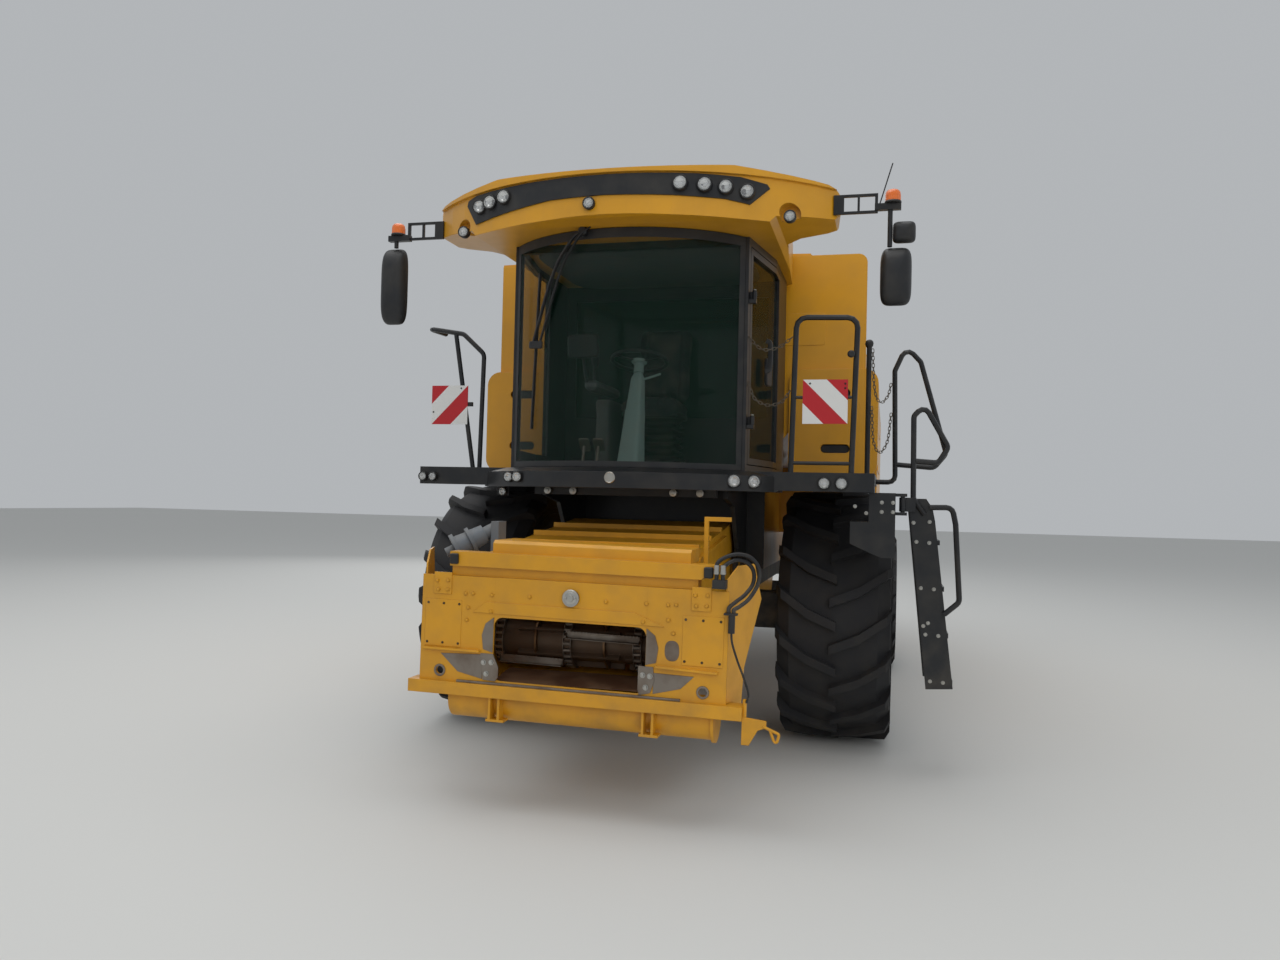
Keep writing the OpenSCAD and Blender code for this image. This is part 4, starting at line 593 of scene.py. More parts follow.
MIRRORS = [
    ((1.715, -1.225, 3.17), 0.19, 0.36, 0.1), ((1.76, -1.235, 3.4425), 0.14, 0.135, 0.07),
    ((-1.7085, -1.225, 3.2125), 0.193, 0.535, 0.1)]
shells = [aimed(mirror_shell(w, h, d), spot(*place)) for place, w, h, d in MIRRORS]
glasses = [
    aimed(pad(w * 0.88, h * 0.88, 0.003, 0.001, SHELL_CORNER, SHELL_SIDES, 0.002), spot(*place)
    + (0, -0.004, 0), -FORWARD) for place, w, h, d in MIRRORS]
mirror_glass = finish("mirror glass", (0.62, 0.64, 0.66), 0.03, metal=1.0, dust=0.04, round_edge=0)
piece("mirror_shells", joined(*shells), black_plastic, replaces=("mirror_heads",))
piece("mirror_glasses", joined(*glasses), mirror_glass)

# %% [markdown]
# The windscreen has a printed black border: a strip that follows the glass's arc just outside
# it. A wiper lies across the glass, with two arms from a pivot over the screen and a long blade.

# %% Windscreen border and wiper
SCREEN_R, SCREEN_Y = 1.03, -0.57
EDGE = math.asin((0.8 - 0.0225) / SCREEN_R)


def on_screen(angle, z, out=0.0):
    """Points of the windscreen: angle from straight ahead, height, distance in front of the glass."""
    radius = SCREEN_R + out
    arc = [radius * np.sin(angle), SCREEN_Y - radius * np.cos(angle), z + 0 * angle]
    return np.stack(arc, axis=-1) - MACHINE_ZERO


def screen_strip(angle0, angle1, z0, z1, steps=40):
    """A thin closed strip on the glass: its outer side 1.2 mm out, its inner side 0.2 mm."""
    angle = np.linspace(angle0, angle1, steps)
    corners = ((z0, 0.0012), (z1, 0.0012), (z1, 0.0002), (z0, 0.0002))
    return capped(np.stack([on_screen(angle, z, out) for z, out in corners], axis=1))


border = [
    screen_strip(-EDGE, EDGE, 1.953, 1.99), screen_strip(-EDGE, EDGE, 3.395, 3.457),
    screen_strip(-EDGE, -EDGE + 0.045, 1.99, 3.395, 4), screen_strip(EDGE - 0.045, EDGE, 1.99, 3.395, 4)]
piece("screen_border", joined(*border), black_plastic)
pivot, elbow, tip = on_screen(np.array([-0.19, -0.4, -0.565]), np.array([3.44, 3.18, 2.74]), 0.045)
blade_line = on_screen(np.linspace(-0.545, -0.595, 30), np.linspace(3.22, 2.2, 30), 0.012)
arm_path = flow([pivot, on_screen(-0.25, 3.38, 0.07), elbow, tip], 8)
pivot_profile = [(0, 0), (0.03, 0), (0.03, 0.055), (0.022, 0.066), (0, 0.066)]
wiper = [
    carried(arm_path, flat_section(0.022, 0.012)), carried(arm_path + (0.052, -0.004, 0.02),
    flat_section(0.014, 0.01)), carried(blade_line, flat_section(0.01, 0.024)),
    aimed(pad(0.09, 0.05, 0.02, 0.005), on_screen(-0.545, 2.745, 0.03)),
    aimed(lathe(pivot_profile), pivot + (0, 0.05, 0))]
piece("wiper", joined(*wiper), satin_black)

# %% [markdown]
# Hexagon bolts hold the plates of the feeder's face, steel collars line its lock bores, and the
# blank disc over the mouth is turned. Places are written before the face's small sideways tilt.

# %% Fittings on the feeder face
FACE_Y, TILT_Z, TILT = -2.33, 0.95, math.radians(0.8)


def on_face(x, z, out=0.0):
    """A point of the tilted face: turned by TILT about x = 0, z = TILT_Z, then out in front of it."""
    rise = z - TILT_Z
    return (
        x * math.cos(TILT) + rise * math.sin(TILT), FACE_Y - out, TILT_Z - x * math.sin(TILT)
        + rise * math.cos(TILT))


PLAIN_BOLTS = [
    (-0.618, 1.191), (-0.574, 1.194), (-0.459, 1.191), (-0.234, 1.195), (0.208, 1.195), (0.436, 1.199),
    (0.556, 1.2), (0.6, 1.203), (-0.6, 1.112), (-0.606, 1.042), (0.56, 1.119), (0.59, 1.049)]
CORNER_BOLTS = [
    (-0.792, 1.257), (-0.726, 1.26), (-0.784, 1.206), (-0.726, 1.209), (0.704, 1.26), (0.77, 1.263),
    (0.71, 1.205), (0.767, 1.208)]
WEAR_BOLTS = [(-0.492, 0.812), (-0.446, 0.815), (-0.474, 0.75), (0.43, 0.815), (0.47, 0.812), (0.448, 0.75)]
RAISED_BOLTS = [(-0.459, 1.1), (0.422, 1.1)]
face_bolts = [
    bolts([on_face(x, z, out) for x, z in places])
    for places, out in ((PLAIN_BOLTS, 0.0), (CORNER_BOLTS, 0.008), (RAISED_BOLTS, 0.006))]
piece("face_bolts", joined(*face_bolts), feeder_paint, "feeder")
piece("wear_bolts", bolts([on_face(x, z, 0.0083) for x, z in WEAR_BOLTS], 1.2), zinc, "feeder")
collar = lathe(
    [(0.0222, 0), (0.034, 0), (0.035, 0.004), (0.033, 0.007), (0.024, 0.007), (0.0222, 0.005)], 32, True)
collars = [aimed(collar, spot(*on_face(x, 0.748))) for x in (-0.76, 0.76)]
piece("lock_collars", joined(*collars), worked_steel, "feeder")
plate = lathe(
    [(0, 0), (0.047, 0), (0.048, 0.003), (0.044, 0.006), (0.034, 0.004), (0.03, 0.007), (0.02, 0.008),
    (0.018, 0.012), (0, 0.013)], 40)
disc = joined(
    aimed(plate, spot(*on_face(0.01, 1.203, 0.0183))),
    bolts([on_face(x, 1.203, 0.023) for x in (-0.016, 0.036)], 0.7))
piece("face_disc", disc, zinc, "feeder")
clips = [aimed(pad(0.05, 0.06, 0.022, 0.005), spot(*on_face(x, 1.385, 0.005))) for x in (-0.69, 0.772)]
piece("channel_clips", joined(*clips), black_plastic, "feeder")
RIVETS = [(x, z) for z in (0.905, 1.128) for x in (-0.845, -0.75, -0.655, 0.655, 0.75, 0.845)]
rivet = aimed(lathe([(0, 0), (0.0075, 0), (0.006, 0.003), (0, 0.0042)], 12), (0, 0, 0))
rivets = repeated(rivet, here(*[on_face(x, z, 0.003) for x, z in RIVETS]))
dark_rivet = finish("dark rivet head", (0.07, 0.045, 0.025), 0.55, metal=0.5, round_edge=0)
piece("face_rivets", rivets, dark_rivet, "feeder")
patch = aimed(pad(0.08, 0.11, 0.0012, 0.0004, 0.8), spot(*on_face(0.585, 0.955)))
piece("worn_patch", patch, worked_steel, "feeder")

# %% [markdown]
# Roller chains run round the feeder's drum inside the mouth. Each roller is a short turned pin,
# and one array of angles about the drum's axis places them all. Side plates link every two.

# %% Feeder chains
DRUM = spot(0, -1.85, 0.9)
PLATE_CORNERS = ((-0.024, 0.147), (0.024, 0.147), (0.024, 0.163), (-0.024, 0.163))
roller = aimed(lathe([(0, -0.02), (0.011, -0.02), (0.011, 0.02), (0, 0.02)], 8), (0, 0, 0.155), SIDEWAYS)
link_plates = [
    (np.array([[x, y, z] for x in (side - 0.002, side + 0.002) for y, z in PLATE_CORNERS]), BOX_FACES)
    for side in (-0.023, 0.023)]
chain_round = about_x(joined(roller, *link_plates), DRUM, turns(24))
rounds = repeated(chain_round, [(x, 0, 0) for x in (-0.54, -0.115, 0.31, 0.54)])
piece("feeder_chains", rounds, worked_steel, "feeder")

# %% [markdown]
# Two hoses loop from the coupler to a bracket, and a cable hangs from the plug. Their routes are
# the CAD's points, with a smooth cubic through them.

# %% Hoses and cable on the feeder
HOSE_ROUTES = [
    [(0.824, -2.366, 1.374), (0.824, -2.364, 1.42), (0.852, -2.345, 1.452), (0.92, -2.32, 1.476),
    (0.99, -2.29, 1.46), (1.034, -2.27, 1.4), (1.03, -2.27, 1.32), (0.992, -2.3, 1.246),
    (0.948, -2.33, 1.205), (0.918, -2.352, 1.186), (0.917, -2.353, 1.168)],
    [(0.858, -2.366, 1.374), (0.858, -2.364, 1.402), (0.876, -2.345, 1.425), (0.92, -2.32, 1.446),
    (0.975, -2.29, 1.43), (1.006, -2.27, 1.385), (1.004, -2.27, 1.32), (0.968, -2.3, 1.264),
    (0.924, -2.33, 1.226), (0.892, -2.352, 1.196), (0.891, -2.353, 1.168)]]
PLUG_CABLE = [
    (0.907, -2.356, 1.061), (0.912, -2.352, 1.01), (0.94, -2.344, 0.92), (0.975, -2.338, 0.83),
    (1.0, -2.336, 0.75), (0.992, -2.336, 0.7)]
hoses = [carried(flow(route) - MACHINE_ZERO, round_section(0.011, 12)) for route in HOSE_ROUTES]
hoses.append(carried(flow(PLUG_CABLE) - MACHINE_ZERO, round_section(0.006)))
piece("hoses", joined(*hoses), hose_rubber, "feeder", replaces=("feeder_hoses",))
ferrule = lathe(
    [(0, -0.004), (0.016, -0.004), (0.016, 0.01), (0.0145, 0.014), (0.0145, 0.04), (0.0125, 0.044),
    (0, 0.044)], 16)
ferrules = repeated(ferrule, here(*[route[0] for route in HOSE_ROUTES]))
piece("hose_ferrules", ferrules, zinc, "feeder")

# %% [markdown]
# Welded link chains close the gate and hang behind the ladder. A link is a thin ring stretched
# along the chain, and each next link is turned a quarter.

# %% Chains at the gate
CHAIN_ROUTES = [
    [(0.8091, -1.222, 2.815), (0.85, -1.21, 2.765), (0.908, -1.198, 2.735), (1.0, -1.182, 2.755),
    (1.0803, -1.172, 2.818)], [(0.8099, -1.222, 2.523), (0.85, -1.21, 2.42), (0.934, -1.195, 2.378),
    (1.02, -1.18, 2.402), (1.0723, -1.172, 2.472)], [(1.5734, -0.546, 2.83), (1.59, -0.51, 2.56),
    (1.63, -0.46, 2.47), (1.68, -0.41, 2.52), (1.701, -0.384, 2.61)],
    [(1.5736, -0.546, 2.43), (1.588, -0.51, 2.2), (1.63, -0.46, 2.12), (1.682, -0.41, 2.2),
    (1.705, -0.384, 2.4)]]
LINK_PITCH, LINK_WIRE, LINK_BEND, LINK_STRAIGHT = 0.024, 0.0028, 0.0085, 0.007


def chain(route):
    """Links evenly spaced: point = place + ahead a + side b + up c, side and up swapped in turn."""
    path = flow(route, 12) - MACHINE_ZERO
    run = np.concatenate([[0], np.cumsum(np.linalg.norm(np.diff(path, axis=0), axis=1))])
    stops = np.linspace(LINK_PITCH / 2, run[-1] - LINK_PITCH / 2, int(run[-1] / LINK_PITCH))
    place = np.stack([np.interp(stops, run, path[:, i]) for i in range(3)], axis=1)
    ahead, side, up_side = frames(place)
    turned = (np.arange(len(place)) % 2 == 1)[:, None]
    side, up_side = np.where(turned, up_side, side), np.where(turned, side, up_side)
    u, v = np.meshgrid(turns(10), turns(5), indexing="ij")
    bend = LINK_BEND + LINK_WIRE * np.cos(v)
    a = (bend * np.cos(u) + np.sign(np.cos(u)) * LINK_STRAIGHT).reshape(-1, 1)
    b = (bend * np.sin(u)).reshape(-1, 1)
    c = (LINK_WIRE * np.sin(v)).reshape(-1, 1)
    points = place[:, None] + a * ahead[:, None] + b * side[:, None] + c * up_side[:, None]
    return copies(points, grid_faces(10, 5, True))


links = joined(*[chain(route) for route in CHAIN_ROUTES])
piece("gate_links", links, rope_steel, replaces=("gate_chains",), sharp=60)

# %% [markdown]
# Wheels show their bolts, a hub cap and, on a tyre's wall, fine moulded ribs round the bead.
# A rib is a thin half-round ring turned about the wheel's axis, so it follows the wall.

# %% Wheel fittings
AXLES = {  # the left wheel's middle, dish, nut circle, hub radius, ribs as (radius, half width)
    "front": ((1.345, 0.15, 0.925), -0.12, 0.183, 0.15,
              [(0.505, 0.361), (0.545, 0.37), (0.7, 0.388), (0.745, 0.385)]),
    "rear": ((1.5, 3.65, 0.72), 0.02, 0.1485, 0.11, [(0.415, 0.277), (0.445, 0.283), (0.56, 0.299)])}
NUT = joined(
    lathe([(0, 0), (0.021, 0), (0.021, 0.004), (0.017, 0.005)], 12),
    lathe([(0.017, 0.004), (0.017, 0.02), (0.014, 0.023), (0.009, 0.023)], 6),
    lathe([(0.009, 0.02), (0.009, 0.034), (0.007, 0.036), (0, 0.036)], 10))
RIB = np.array([(-0.006, -0.004), (-0.003, 0.004), (0.003, 0.004), (0.006, -0.004)])


def wheel_circle(radius):
    """Ten places round a wheel's axis."""
    return np.insert(round_section(radius), 0, 0.0, axis=1)


for axle, (middle, dish, nut_circle, hub_r, ribs) in AXLES.items():
    cap = lathe(
        [(0, -0.004), (hub_r + 0.012, -0.004), (hub_r + 0.012, 0.008), (hub_r - 0.012, 0.014),
        (hub_r - 0.02, 0.062), (hub_r - 0.04, 0.072), (0.03, 0.076), (0.026, 0.084), (0, 0.084)], 40)
    rib_rings = [
        lathe(np.array([r, side * w]) + RIB * (1, side), 96, True) for r, w in ribs for side in (-1, 1)]
    for name, outward in ((axle + "_left", 1), (axle + "_right", -1)):
        centre, axis = spot(outward * middle[0], *middle[1:]), outward * SIDEWAYS
        nuts = repeated(aimed(NUT, centre + axis * (dish + 0.022), axis), wheel_circle(nut_circle))
        cap_bolts = repeated(aimed(BOLT, centre + axis * (dish + 0.094), axis), wheel_circle(0.75 * hub_r))
        seated_cap = aimed(cap, centre + axis * (dish + 0.0225), axis)
        piece("wheel_nuts_" + name, joined(nuts, cap_bolts), zinc, "wheel_" + name)
        piece("hub_cap_" + name, seated_cap, dusty_steel, "wheel_" + name)
        wall_ribs = aimed(joined(*rib_rings), centre, axis)
        piece("tyre_ribs_" + name, wall_ribs, tyre_rubber, "wheel_" + name)

# %% [markdown]
# The ladder is folded sheet with pairs of bright bolts at every step, and its treads have
# raised studs for grip. The deck plates carry the usual pattern of small slanted lozenges.

# %% Ladder and deck
STRINGER_BOLTS = [
    (1.855, 1.645), (1.954, 1.653), (1.875, 1.523), (1.954, 1.519), (1.907, 1.228), (1.987, 1.224),
    (1.94, 0.933), (2.019, 0.929), (1.973, 0.638), (2.052, 0.634), (1.926, 0.987), (1.955, 1.007)]
stringer_bolts = bolts([(x, -0.95, z) for x, z in STRINGER_BOLTS], 0.95)
piece("ladder_bolts", stringer_bolts, zinc, "boarding_ladder")
BOX_BOLTS = [(1.656, 1.77), (1.656, 1.71), (1.725, 1.77), (1.725, 1.71), (1.49, 1.742), (1.56, 1.7)]
piece("box_bolts", bolts([(x, -1.08, z) for x, z in BOX_BOLTS], 0.95), zinc)
stud = lathe([(0.007, 0), (0.006, 0.004), (0, 0.0045)], 8)
tread_z = 0.62 + 0.295 * np.arange(4)
tread_x = 1.829 + 0.125 * (1.8 - tread_z) / 1.215
studs = [
    (x + 0.03 + 0.034 * i, -0.9 + 0.045 * j, z + 0.03)
    for x, z in zip(tread_x, tread_z) for i in range(4) for j in range(10)]
piece("tread_studs", repeated(stud, here(*studs)), satin_black, "boarding_ladder")
LOZENGE = np.array(
    [[-0.02, 0, 0], [0, -0.006, 0], [0.02, 0, 0], [0, 0.006, 0], [-0.01, 0, 0.0016], [0.01, 0, 0.0016]])
LOZENGE_FACES = np.array([[0, 1, 5, 4], [1, 2, 5, 5], [2, 3, 4, 5], [3, 0, 4, 4]])
DECK_PITCH, DECK_TOP = 0.045, 1.946


def deck_pattern(x0, x1):
    """Lozenges on a square grid, every second one turned a quarter."""
    x, y = np.meshgrid(np.arange(x0, x1, DECK_PITCH), np.arange(-1.12, 0.04, DECK_PITCH), indexing="ij")
    odd = np.indices(x.shape).sum(axis=0) % 2 == 1
    sets = ((LOZENGE, ~odd), (LOZENGE[:, [1, 0, 2]] * (1, -1, 1), odd))
    return joined(
        *[repeated((points, LOZENGE_FACES), here(*zip(x[pick], y[pick], np.full(pick.sum(), DECK_TOP))))
        for points, pick in sets])


decks = joined(deck_pattern(0.95, 1.56), deck_pattern(-1.46, -0.95))
piece("deck_pattern", decks, satin_black)
ball = lathe(
    [(0, -0.012), (0.018, -0.01), (0.026, 0.004), (0.029, 0.018), (0.025, 0.034), (0.014, 0.044), (0, 0.047)])
piece("post_ball", repeated(ball, here((1.55, -0.55, 2.85))), black_plastic)

# %% [markdown]
# Through the windscreen a driver's place is seen. The column is one section carried along its
# leaning axis and drawn in on the way up, with a wheel on top.

# %% Steering column and wheel
COLUMN_FOOT = spot(0, -1.09, 1.9505)
LEAN = math.radians(14)
COLUMN_UP = np.array([0.0, math.sin(LEAN), math.cos(LEAN)])


def up_column(*heights):
    """Points on the column's axis at these distances from its foot, in the frame."""
    return COLUMN_FOOT + np.array(heights)[:, None] * COLUMN_UP


tower = carried(
    up_column(0.02, 0.06, 0.3, 0.42, 0.43, 0.6, 0.66, 0.7), flat_section(0.17, 0.12, 0.35, 24),
    [1.2, 1.0, 0.8, 0.74, 0.7, 0.56, 0.52, 0.3])
boss = lathe([(0, 0.7), (0.035, 0.7), (0.035, 0.765), (0.055, 0.775), (0.055, 0.792), (0, 0.797)])
stalk = carried(
    flow(up_column(0.64, 0.65, 0.66) + ((0, 0, 0), (0.1, 0, 0.02), (0.16, 0, 0.03)), 4),
    round_section(0.008, 8))
column = joined(tower, aimed(boss, COLUMN_FOOT, COLUMN_UP), stalk)
piece("column_tower", column, column_trim, replaces=("steering_column",))
wheel_rim = aimed(lathe(round_section(0.013, 16) + (0.19, 0.79), 64, True), COLUMN_FOOT, COLUMN_UP)
side_way = np.cross(COLUMN_UP, SIDEWAYS)
spokes = [
    carried(up_column(0.785) + np.outer((0.03, 0.1, 0.185), SIDEWAYS * np.cos(a) + side_way * np.sin(a)),
    flat_section(0.03, 0.01)) for a in np.radians([100, 220, 340])]
piece("steering_wheel", joined(wheel_rim, *spokes), black_plastic)

# %% [markdown]
# The seat stands on a bellows: a stack of rounded outlines that swell and shrink in turn. The
# console beside it carries armrest, lever and display.

# %% Console, bellows and pedals
def swelling(outline, heights, sizes, centre):
    """One outline at each height, multiplied by its size, closed at both ends: a bellows or a grip."""
    points, faces = stacked(outline, [(0, heights[0]), *zip(sizes, heights), (0, heights[-1])])
    return points + spot(*centre), faces


def rod(points, radius, sides=10):
    """A round rod that flows through places as measured on the machine."""
    return carried(flow(here(*points), 4), round_section(radius, sides))


bellows = swelling(
    flat_section(0.36, 0.34, 0.35, 32), np.linspace(0, 0.3, 25), 1 + 0.09 * np.cos(np.arange(25) * np.pi / 2),
    (0, -0.38, 2.05))
pan = [aimed(pad(0.44, 0.4, 0.045, 0.012), spot(0, -0.395, z), UPWARD) for z in (2.005, 2.35)]
piece("seat_bellows", joined(bellows, *pan), hose_rubber, replaces=("seat_base",))
console = swelling(
    flat_section(0.115, 0.42, 0.25, 24), (0, 0.02, 0.42, 0.5, 0.53), (0.96, 1, 0.92, 1, 0.9),
    (-0.355, -0.39, 1.952))
armrest = aimed(pad(0.11, 0.64, 0.07, 0.022, crown=0.008), spot(-0.36, -0.56, 2.52), UPWARD)
piece("console", joined(console, armrest), cab_trim)
lever = rod(((-0.36, -0.77, 2.58), (-0.36, -0.79, 2.66), (-0.35, -0.8, 2.7)), 0.012)
lever_grip = swelling(
    flat_section(0.05, 0.06, 0.6, 20), np.linspace(0, 0.11, 7), (0.5, 0.85, 1, 1, 0.95, 0.8, 0.4),
    (-0.35, -0.8, 2.69))
piece("drive_lever", joined(lever, lever_grip), black_plastic)
display_post = rod(((-0.39, -0.86, 2.57), (-0.4, -0.9, 2.68), (-0.4, -0.93, 2.76)), 0.012)
display_case = aimed(pad(0.24, 0.17, 0.035, 0.01), spot(-0.4, -0.96, 2.82), (0.15, 0.95, 0.1))
piece("display", joined(display_post, display_case), black_plastic)
pedals = []
for x in (-0.33, -0.23):
    pedals += [
        aimed(pad(0.075, 0.11, 0.014, 0.004), spot(x, -1.075, 2.115), (0, 0.75, 0.66)),
        rod(((x, -1.13, 1.955), (x, -1.1, 2.03), (x, -1.085, 2.11)), 0.01, 8)]
piece("pedals", joined(*pedals), worked_steel)
headliner = aimed(pad(1.48, 1.2, 0.02, 0.006), spot(0, -0.56, 3.455), -UPWARD)
piece("headliner", headliner, cab_trim)

# %% [markdown]
# Both seat cushions are padded cloth. Each starts as a rounded slab a little under its real size,
# is remeshed into even cells and blown up by the cloth solver, as foam fills a cover. No point
# moves more than MOST. The sewn channels are pressed in after that.

# %% Seat cushions
VOXEL, AIR, MOST, FRAMES = 0.006, 4.0, 0.024, 20
CHANNEL_AT, CHANNEL_DEPTH, CHANNEL_WIDTH = 0.125, 0.008, 0.007


def blown(obj):
    """Remeshes a closed piece, fills it with air for FRAMES, and keeps the result, capped, as its mesh."""
    even = obj.modifiers.new("even cells", "REMESH")
    even.mode, even.voxel_size = "VOXEL", VOXEL
    keep_result(obj)
    start = coordinates(obj.data)
    cloth = obj.modifiers.new("air", "CLOTH")
    cloth.settings.use_pressure = True
    cloth.settings.uniform_pressure_force = AIR
    cloth.settings.effector_weights.gravity = 0.0
    cloth.point_cache.frame_start, cloth.point_cache.frame_end = 1, FRAMES
    for number in range(1, FRAMES + 1):
        bpy.context.scene.frame_set(number)
    keep_result(obj)
    bpy.context.scene.frame_set(1)
    move = coordinates(obj.data) - start
    far = np.linalg.norm(move, axis=1)
    place = start + move * np.minimum(1.0, MOST / np.maximum(far, 1e-9))[:, None]
    obj.data.vertices.foreach_set("co", place.ravel())
    obj.data.polygons.foreach_set("use_smooth", np.ones(len(obj.data.polygons), bool))
    print(obj.name, "moved up to", round(float(min(far.max(), MOST)) * 1000, 1), "mm")


def keep_result(obj):
    """Replaces a piece's mesh by what its modifiers make of it, and clears them."""
    made = bpy.data.meshes.new_from_object(obj.evaluated_get(bpy.context.evaluated_depsgraph_get()))
    obj.modifiers.clear()
    obj.data = made


def coordinates(mesh):
    """A mesh's points as one array."""
    points = np.empty(len(mesh.vertices) * 3)
    mesh.vertices.foreach_get("co", points)
    return points.reshape(-1, 3)


def sewn(obj, centre, face):
    """Presses two channels into the side that faces the sitter, each a bell curve across."""
    points = coordinates(obj.data)
    away = points - centre
    across = (np.abs(away @ SIDEWAYS) - CHANNEL_AT) / CHANNEL_WIDTH
    depth = CHANNEL_DEPTH * np.exp(-across**2) * (away @ face > 0.0)
    obj.data.vertices.foreach_set("co", (points - depth[:, None] * face).ravel())


seat_cloth = finish(
    "dark woven seat cloth", (0.022, 0.023, 0.026), 0.85, dust=0.2, grain=0.6, grain_size=1500, round_edge=0)
BACK_LEAN = math.radians(8)
BACK_FACE = np.array([0.0, -math.cos(BACK_LEAN), math.sin(BACK_LEAN)])
CUSHIONS = [
    ("seat_cushion", pad(0.455, 0.465, 0.098, 0.03, 0.3, 48, 0.012), (0, -0.41, 2.374), UPWARD,
    ("seat_cushions",)), ("seat_back", pad(0.435, 0.59, 0.088, 0.028, 0.3, 48, 0.01), (0, -0.05, 2.785),
    BACK_FACE, ())]
for name, shape, place, face, stood_for in CUSHIONS:
    cushion = piece(name, aimed(shape, spot(*place), face), seat_cloth, replaces=stood_for)
    blown(cushion)
    sewn(cushion, spot(*place) + face * 0.05, face)
    rounder = cushion.modifiers.new("rounder", "SUBSURF")
    rounder.levels = rounder.render_levels = 1

# %% [markdown]
# The door has a long pull handle and a lock. The two hinge lugs carry capped pins. Under the
# windscreen's middle sits a plain blank disc, and washers close the rubber mounts of the cab.

# %% Door and fairing fittings
pull = carried(
    flow(here((0.902, -1.12, 2.6), (0.93, -1.118, 2.62), (0.934, -1.11, 2.7), (0.93, -1.1, 2.79),
    (0.905, -1.098, 2.81)), 6), flat_section(0.03, 0.018))
lock = aimed(pad(0.11, 0.19, 0.022, 0.006), spot(0.874, -0.8, 2.64), (0.98, -0.2, 0))
piece("door_handle", joined(pull, lock), black_plastic, "door")
pin_caps = repeated(
    lathe([(0, 0), (0.012, 0), (0.011, 0.005), (0, 0.007)], 16), here((0.834, -1.193, 2.313),
    (0.834, -1.193, 3.123)))
piece("hinge_caps", pin_caps, zinc)
blank = lathe([(0, 0), (0.034, 0), (0.035, 0.004), (0.031, 0.008), (0.028, 0.006), (0, 0.01)], 40)
blank = aimed(blank, spot(0.045, fairing_edge_y(0.045) - 0.001, 1.883))
piece("fairing_disc", blank, zinc)
washer = lathe([(0, 0), (0.024, 0), (0.024, 0.004), (0.012, 0.006), (0.011, 0.014), (0, 0.015)], 20)
mounts = [aimed(washer, spot(x, -1.2752, 1.801)) for x in (-0.519, -0.341, 0.341, 0.519)]
piece("mount_washers", joined(*mounts), zinc)

# %% [markdown]
# Inside the mouth two flanges run round the drum, and slats carry the crop up between the
# chains. A bent sheet, brown with wear, leads over the lower edge.

# %% Slats and flanges of the feeder
rubbed_steel = finish("rubbed brown steel", (0.2, 0.11, 0.05), 0.35, metal=0.8, dust=0.3)
flange = lathe([(0.118, -0.006), (0.152, -0.006), (0.152, 0.006), (0.118, 0.006)], 64, True)
flanges = [aimed(flange, DRUM + (x, 0, 0), SIDEWAYS) for x in (-0.316, 0.108)]
piece("drum_flanges", joined(*flanges), rubbed_steel, "feeder")
ANGLE_BAR = [(-0.02, -0.02), (0.02, -0.02), (0.02, -0.016), (-0.016, -0.016), (-0.016, 0.02), (-0.02, 0.02)]
TOOTH = np.array(
    [[side * half, y, z] for half, z in ((0.006, 0), (0.003, 0.01))
    for side, y in ((-1, 0), (1, 0), (1, 0.004), (-1, 0.004))])


def slat(x0, x1, y, z0, z1):
    """A toothed angle bar from one chain to the next: an L section with a row of small teeth."""
    start, end = here((x0, y, z0), (x1, y, z1))
    along = np.linspace(0.02, 0.98, int((x1 - x0) / 0.02))[:, None]
    teeth = repeated((TOOTH, BOX_FACES), start * (1 - along) + end * along + (0, -0.021, 0.018))
    return joined(carried(np.linspace(start, end, 3), ANGLE_BAR), teeth)


slats = joined(slat(-0.11, 0.33, -2.035, 0.955, 0.945), slat(-0.52, -0.13, -2.04, 0.8, 0.792))
piece("chain_slats", slats, worked_steel, "feeder")


def sheet_along(profile, x0, x1, columns=12, thick=0.003):
    """A bent sheet: a profile in (y, z) drawn along x, its back face `thick` below."""
    profile = flow(np.insert(profile, 0, 0.0, axis=1), 5)[:, 1:]
    around = np.vstack([profile, profile[::-1] - (0.0, thick)])
    x = np.linspace(x0, x1, columns)[:, None]
    y, z = around.T[:, None] + 0 * x
    return capped(np.stack([x + 0 * y, y, z], axis=2) - MACHINE_ZERO)


rusty = finish(
    "rust brown sheet", (0.1, 0.045, 0.022), 0.55, metal=0.5, dust=0.5, dust_colour=(0.22, 0.13, 0.07),
    grain=0.3, grain_size=120)
apron = sheet_along([(-2.316, 0.716), (-2.25, 0.728), (-2.16, 0.744), (-2.07, 0.752)], -0.437, 0.437)
piece("mouth_apron", apron, rusty, "feeder")

# %% [markdown]
# The tank's front wall has a shallow hatch, the front panels' slots are lined, the gate has a
# knob, screws hold the warning boards, and the side shields have latches and grab handles.

# %% Hatch, latches and handles
SHIELD_X, LINER_Y = 1.601, 0.245
LATCHES = [(1.45, 1.33), (2.25, 1.33), (3.4, 1.68), (4.55, 1.68)]
hatch = aimed(pad(0.546, 0.255, 0.004, 0.0015, 0.12, 64), spot(0.925, 0.25, 3.118))
piece("tank_hatch", hatch, yellow_paint)
liners = [
    aimed(pad(0.215, 0.064, 0.01, 0.003, 0.5), spot(x, LINER_Y, z)) for x in (-1.29, 1.29)
    for z in (2.18, 2.61)]
piece("slot_liners", joined(*liners), black_plastic)
BOARD_SCREWS = [
    (1.199, -1.1863, 2.517), (1.419, -1.1863, 2.515), (1.419, -1.1863, 2.487), (-1.325, -0.9278, 2.53),
    (-1.54, -0.9278, 2.358)]
piece("board_screws", bolts(BOARD_SCREWS, 0.5), satin_black)
knob = lathe([(0, 0), (0.012, 0), (0.01, 0.018), (0.022, 0.024), (0.024, 0.034), (0.016, 0.044), (0, 0.046)])
piece("gate_knob", aimed(knob, spot(1.453, -1.186, 2.698)), black_plastic)
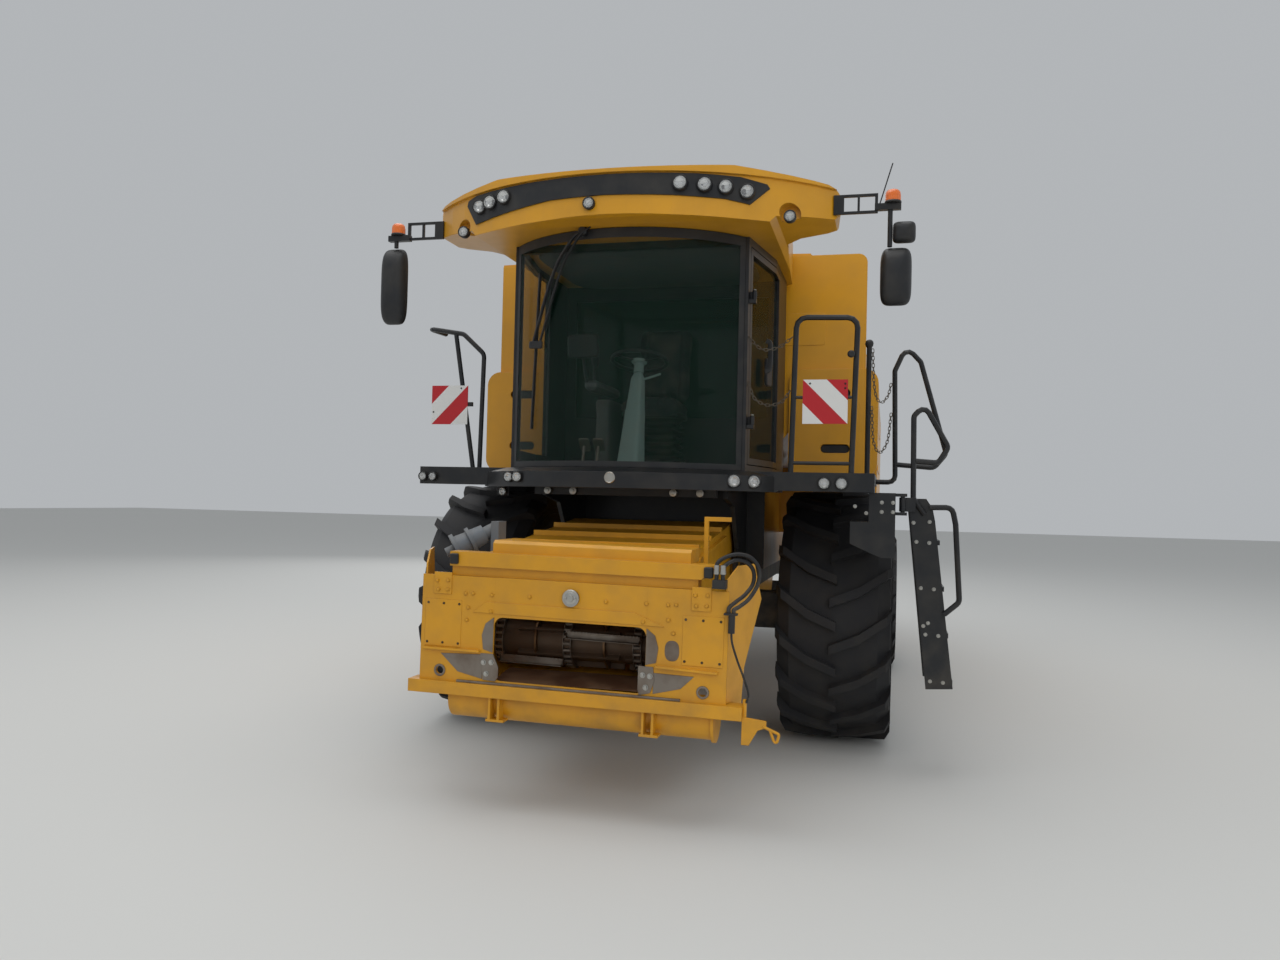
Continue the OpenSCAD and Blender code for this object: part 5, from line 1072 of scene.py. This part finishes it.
latch = joined(pad(0.12, 0.05, 0.006, 0.002), repeated(pad(0.085, 0.02, 0.02, 0.005), [(0, 0, 0.004)]))
for name, side in (("left", 1), ("right", -1)):
    latches = [aimed(latch, spot(side * SHIELD_X, y, z), side * SIDEWAYS) for y, z in LATCHES]
    piece("shield_latches_" + name, joined(*latches), black_plastic, "shield_" + name)
    bow = np.array(
        [(SHIELD_X, 0, 1.42), (1.64, 0, 1.43), (1.64, 0, 1.55), (SHIELD_X, 0, 1.56)]) * (side, 1, 1)
    grips = [carried(flow(here(*(bow + (0, y, 0))), 5), round_section(0.009)) for y in (1.3, 4.7)]
    piece("shield_grips_" + name, joined(*grips), satin_black, "shield_" + name)

# %% [markdown]
# Cooling air enters through louvres in the hood's left wall, each a short quarter-round hood, and
# through the round screen on the right, whose mesh is rings and spokes of thin wire.

# %% Louvres and screen mesh
def louvre(length):
    """A pressed hood: a quarter circle in (out, up), drawn in to the wall by sqrt(1 - t^8) at both ends."""
    t = np.linspace(-1, 1, 13)[:, None]
    lift = np.sqrt(1 - t**8)
    a = np.linspace(0, np.pi / 2, 6)
    points = np.stack([0.022 * lift * np.sin(a), t * length / 2 + 0 * a, 0.028 * lift * np.cos(a)], axis=2)
    return skin(np.concatenate([points, points[:, ::-1] - (0.003, 0, 0)], axis=1))


LOUVRES = [(1.0505, 3.62 + 0.46 * column, 2.86 + 0.055 * row) for row in range(8) for column in range(3)]
piece("hood_louvres", repeated(louvre(0.38), here(*LOUVRES)), yellow_paint)
SCREEN_SPOT = spot(-1.362, 4.006, 3.06)
WIRE = 0.0016
wire_rings = [lathe(round_section(WIRE, 5) + (r, 0), 48, True) for r in np.arange(0.03, 0.185, 0.014)]
spoke = aimed(carried([[0.028, 0, 0], [0.184, 0, 0]], round_section(WIRE, 5)), (0, 0, 0), -SIDEWAYS)
wires = joined(aimed(joined(*wire_rings), SCREEN_SPOT, -SIDEWAYS), about_x(spoke, SCREEN_SPOT, turns(36)))
piece("screen_mesh", wires, zinc)
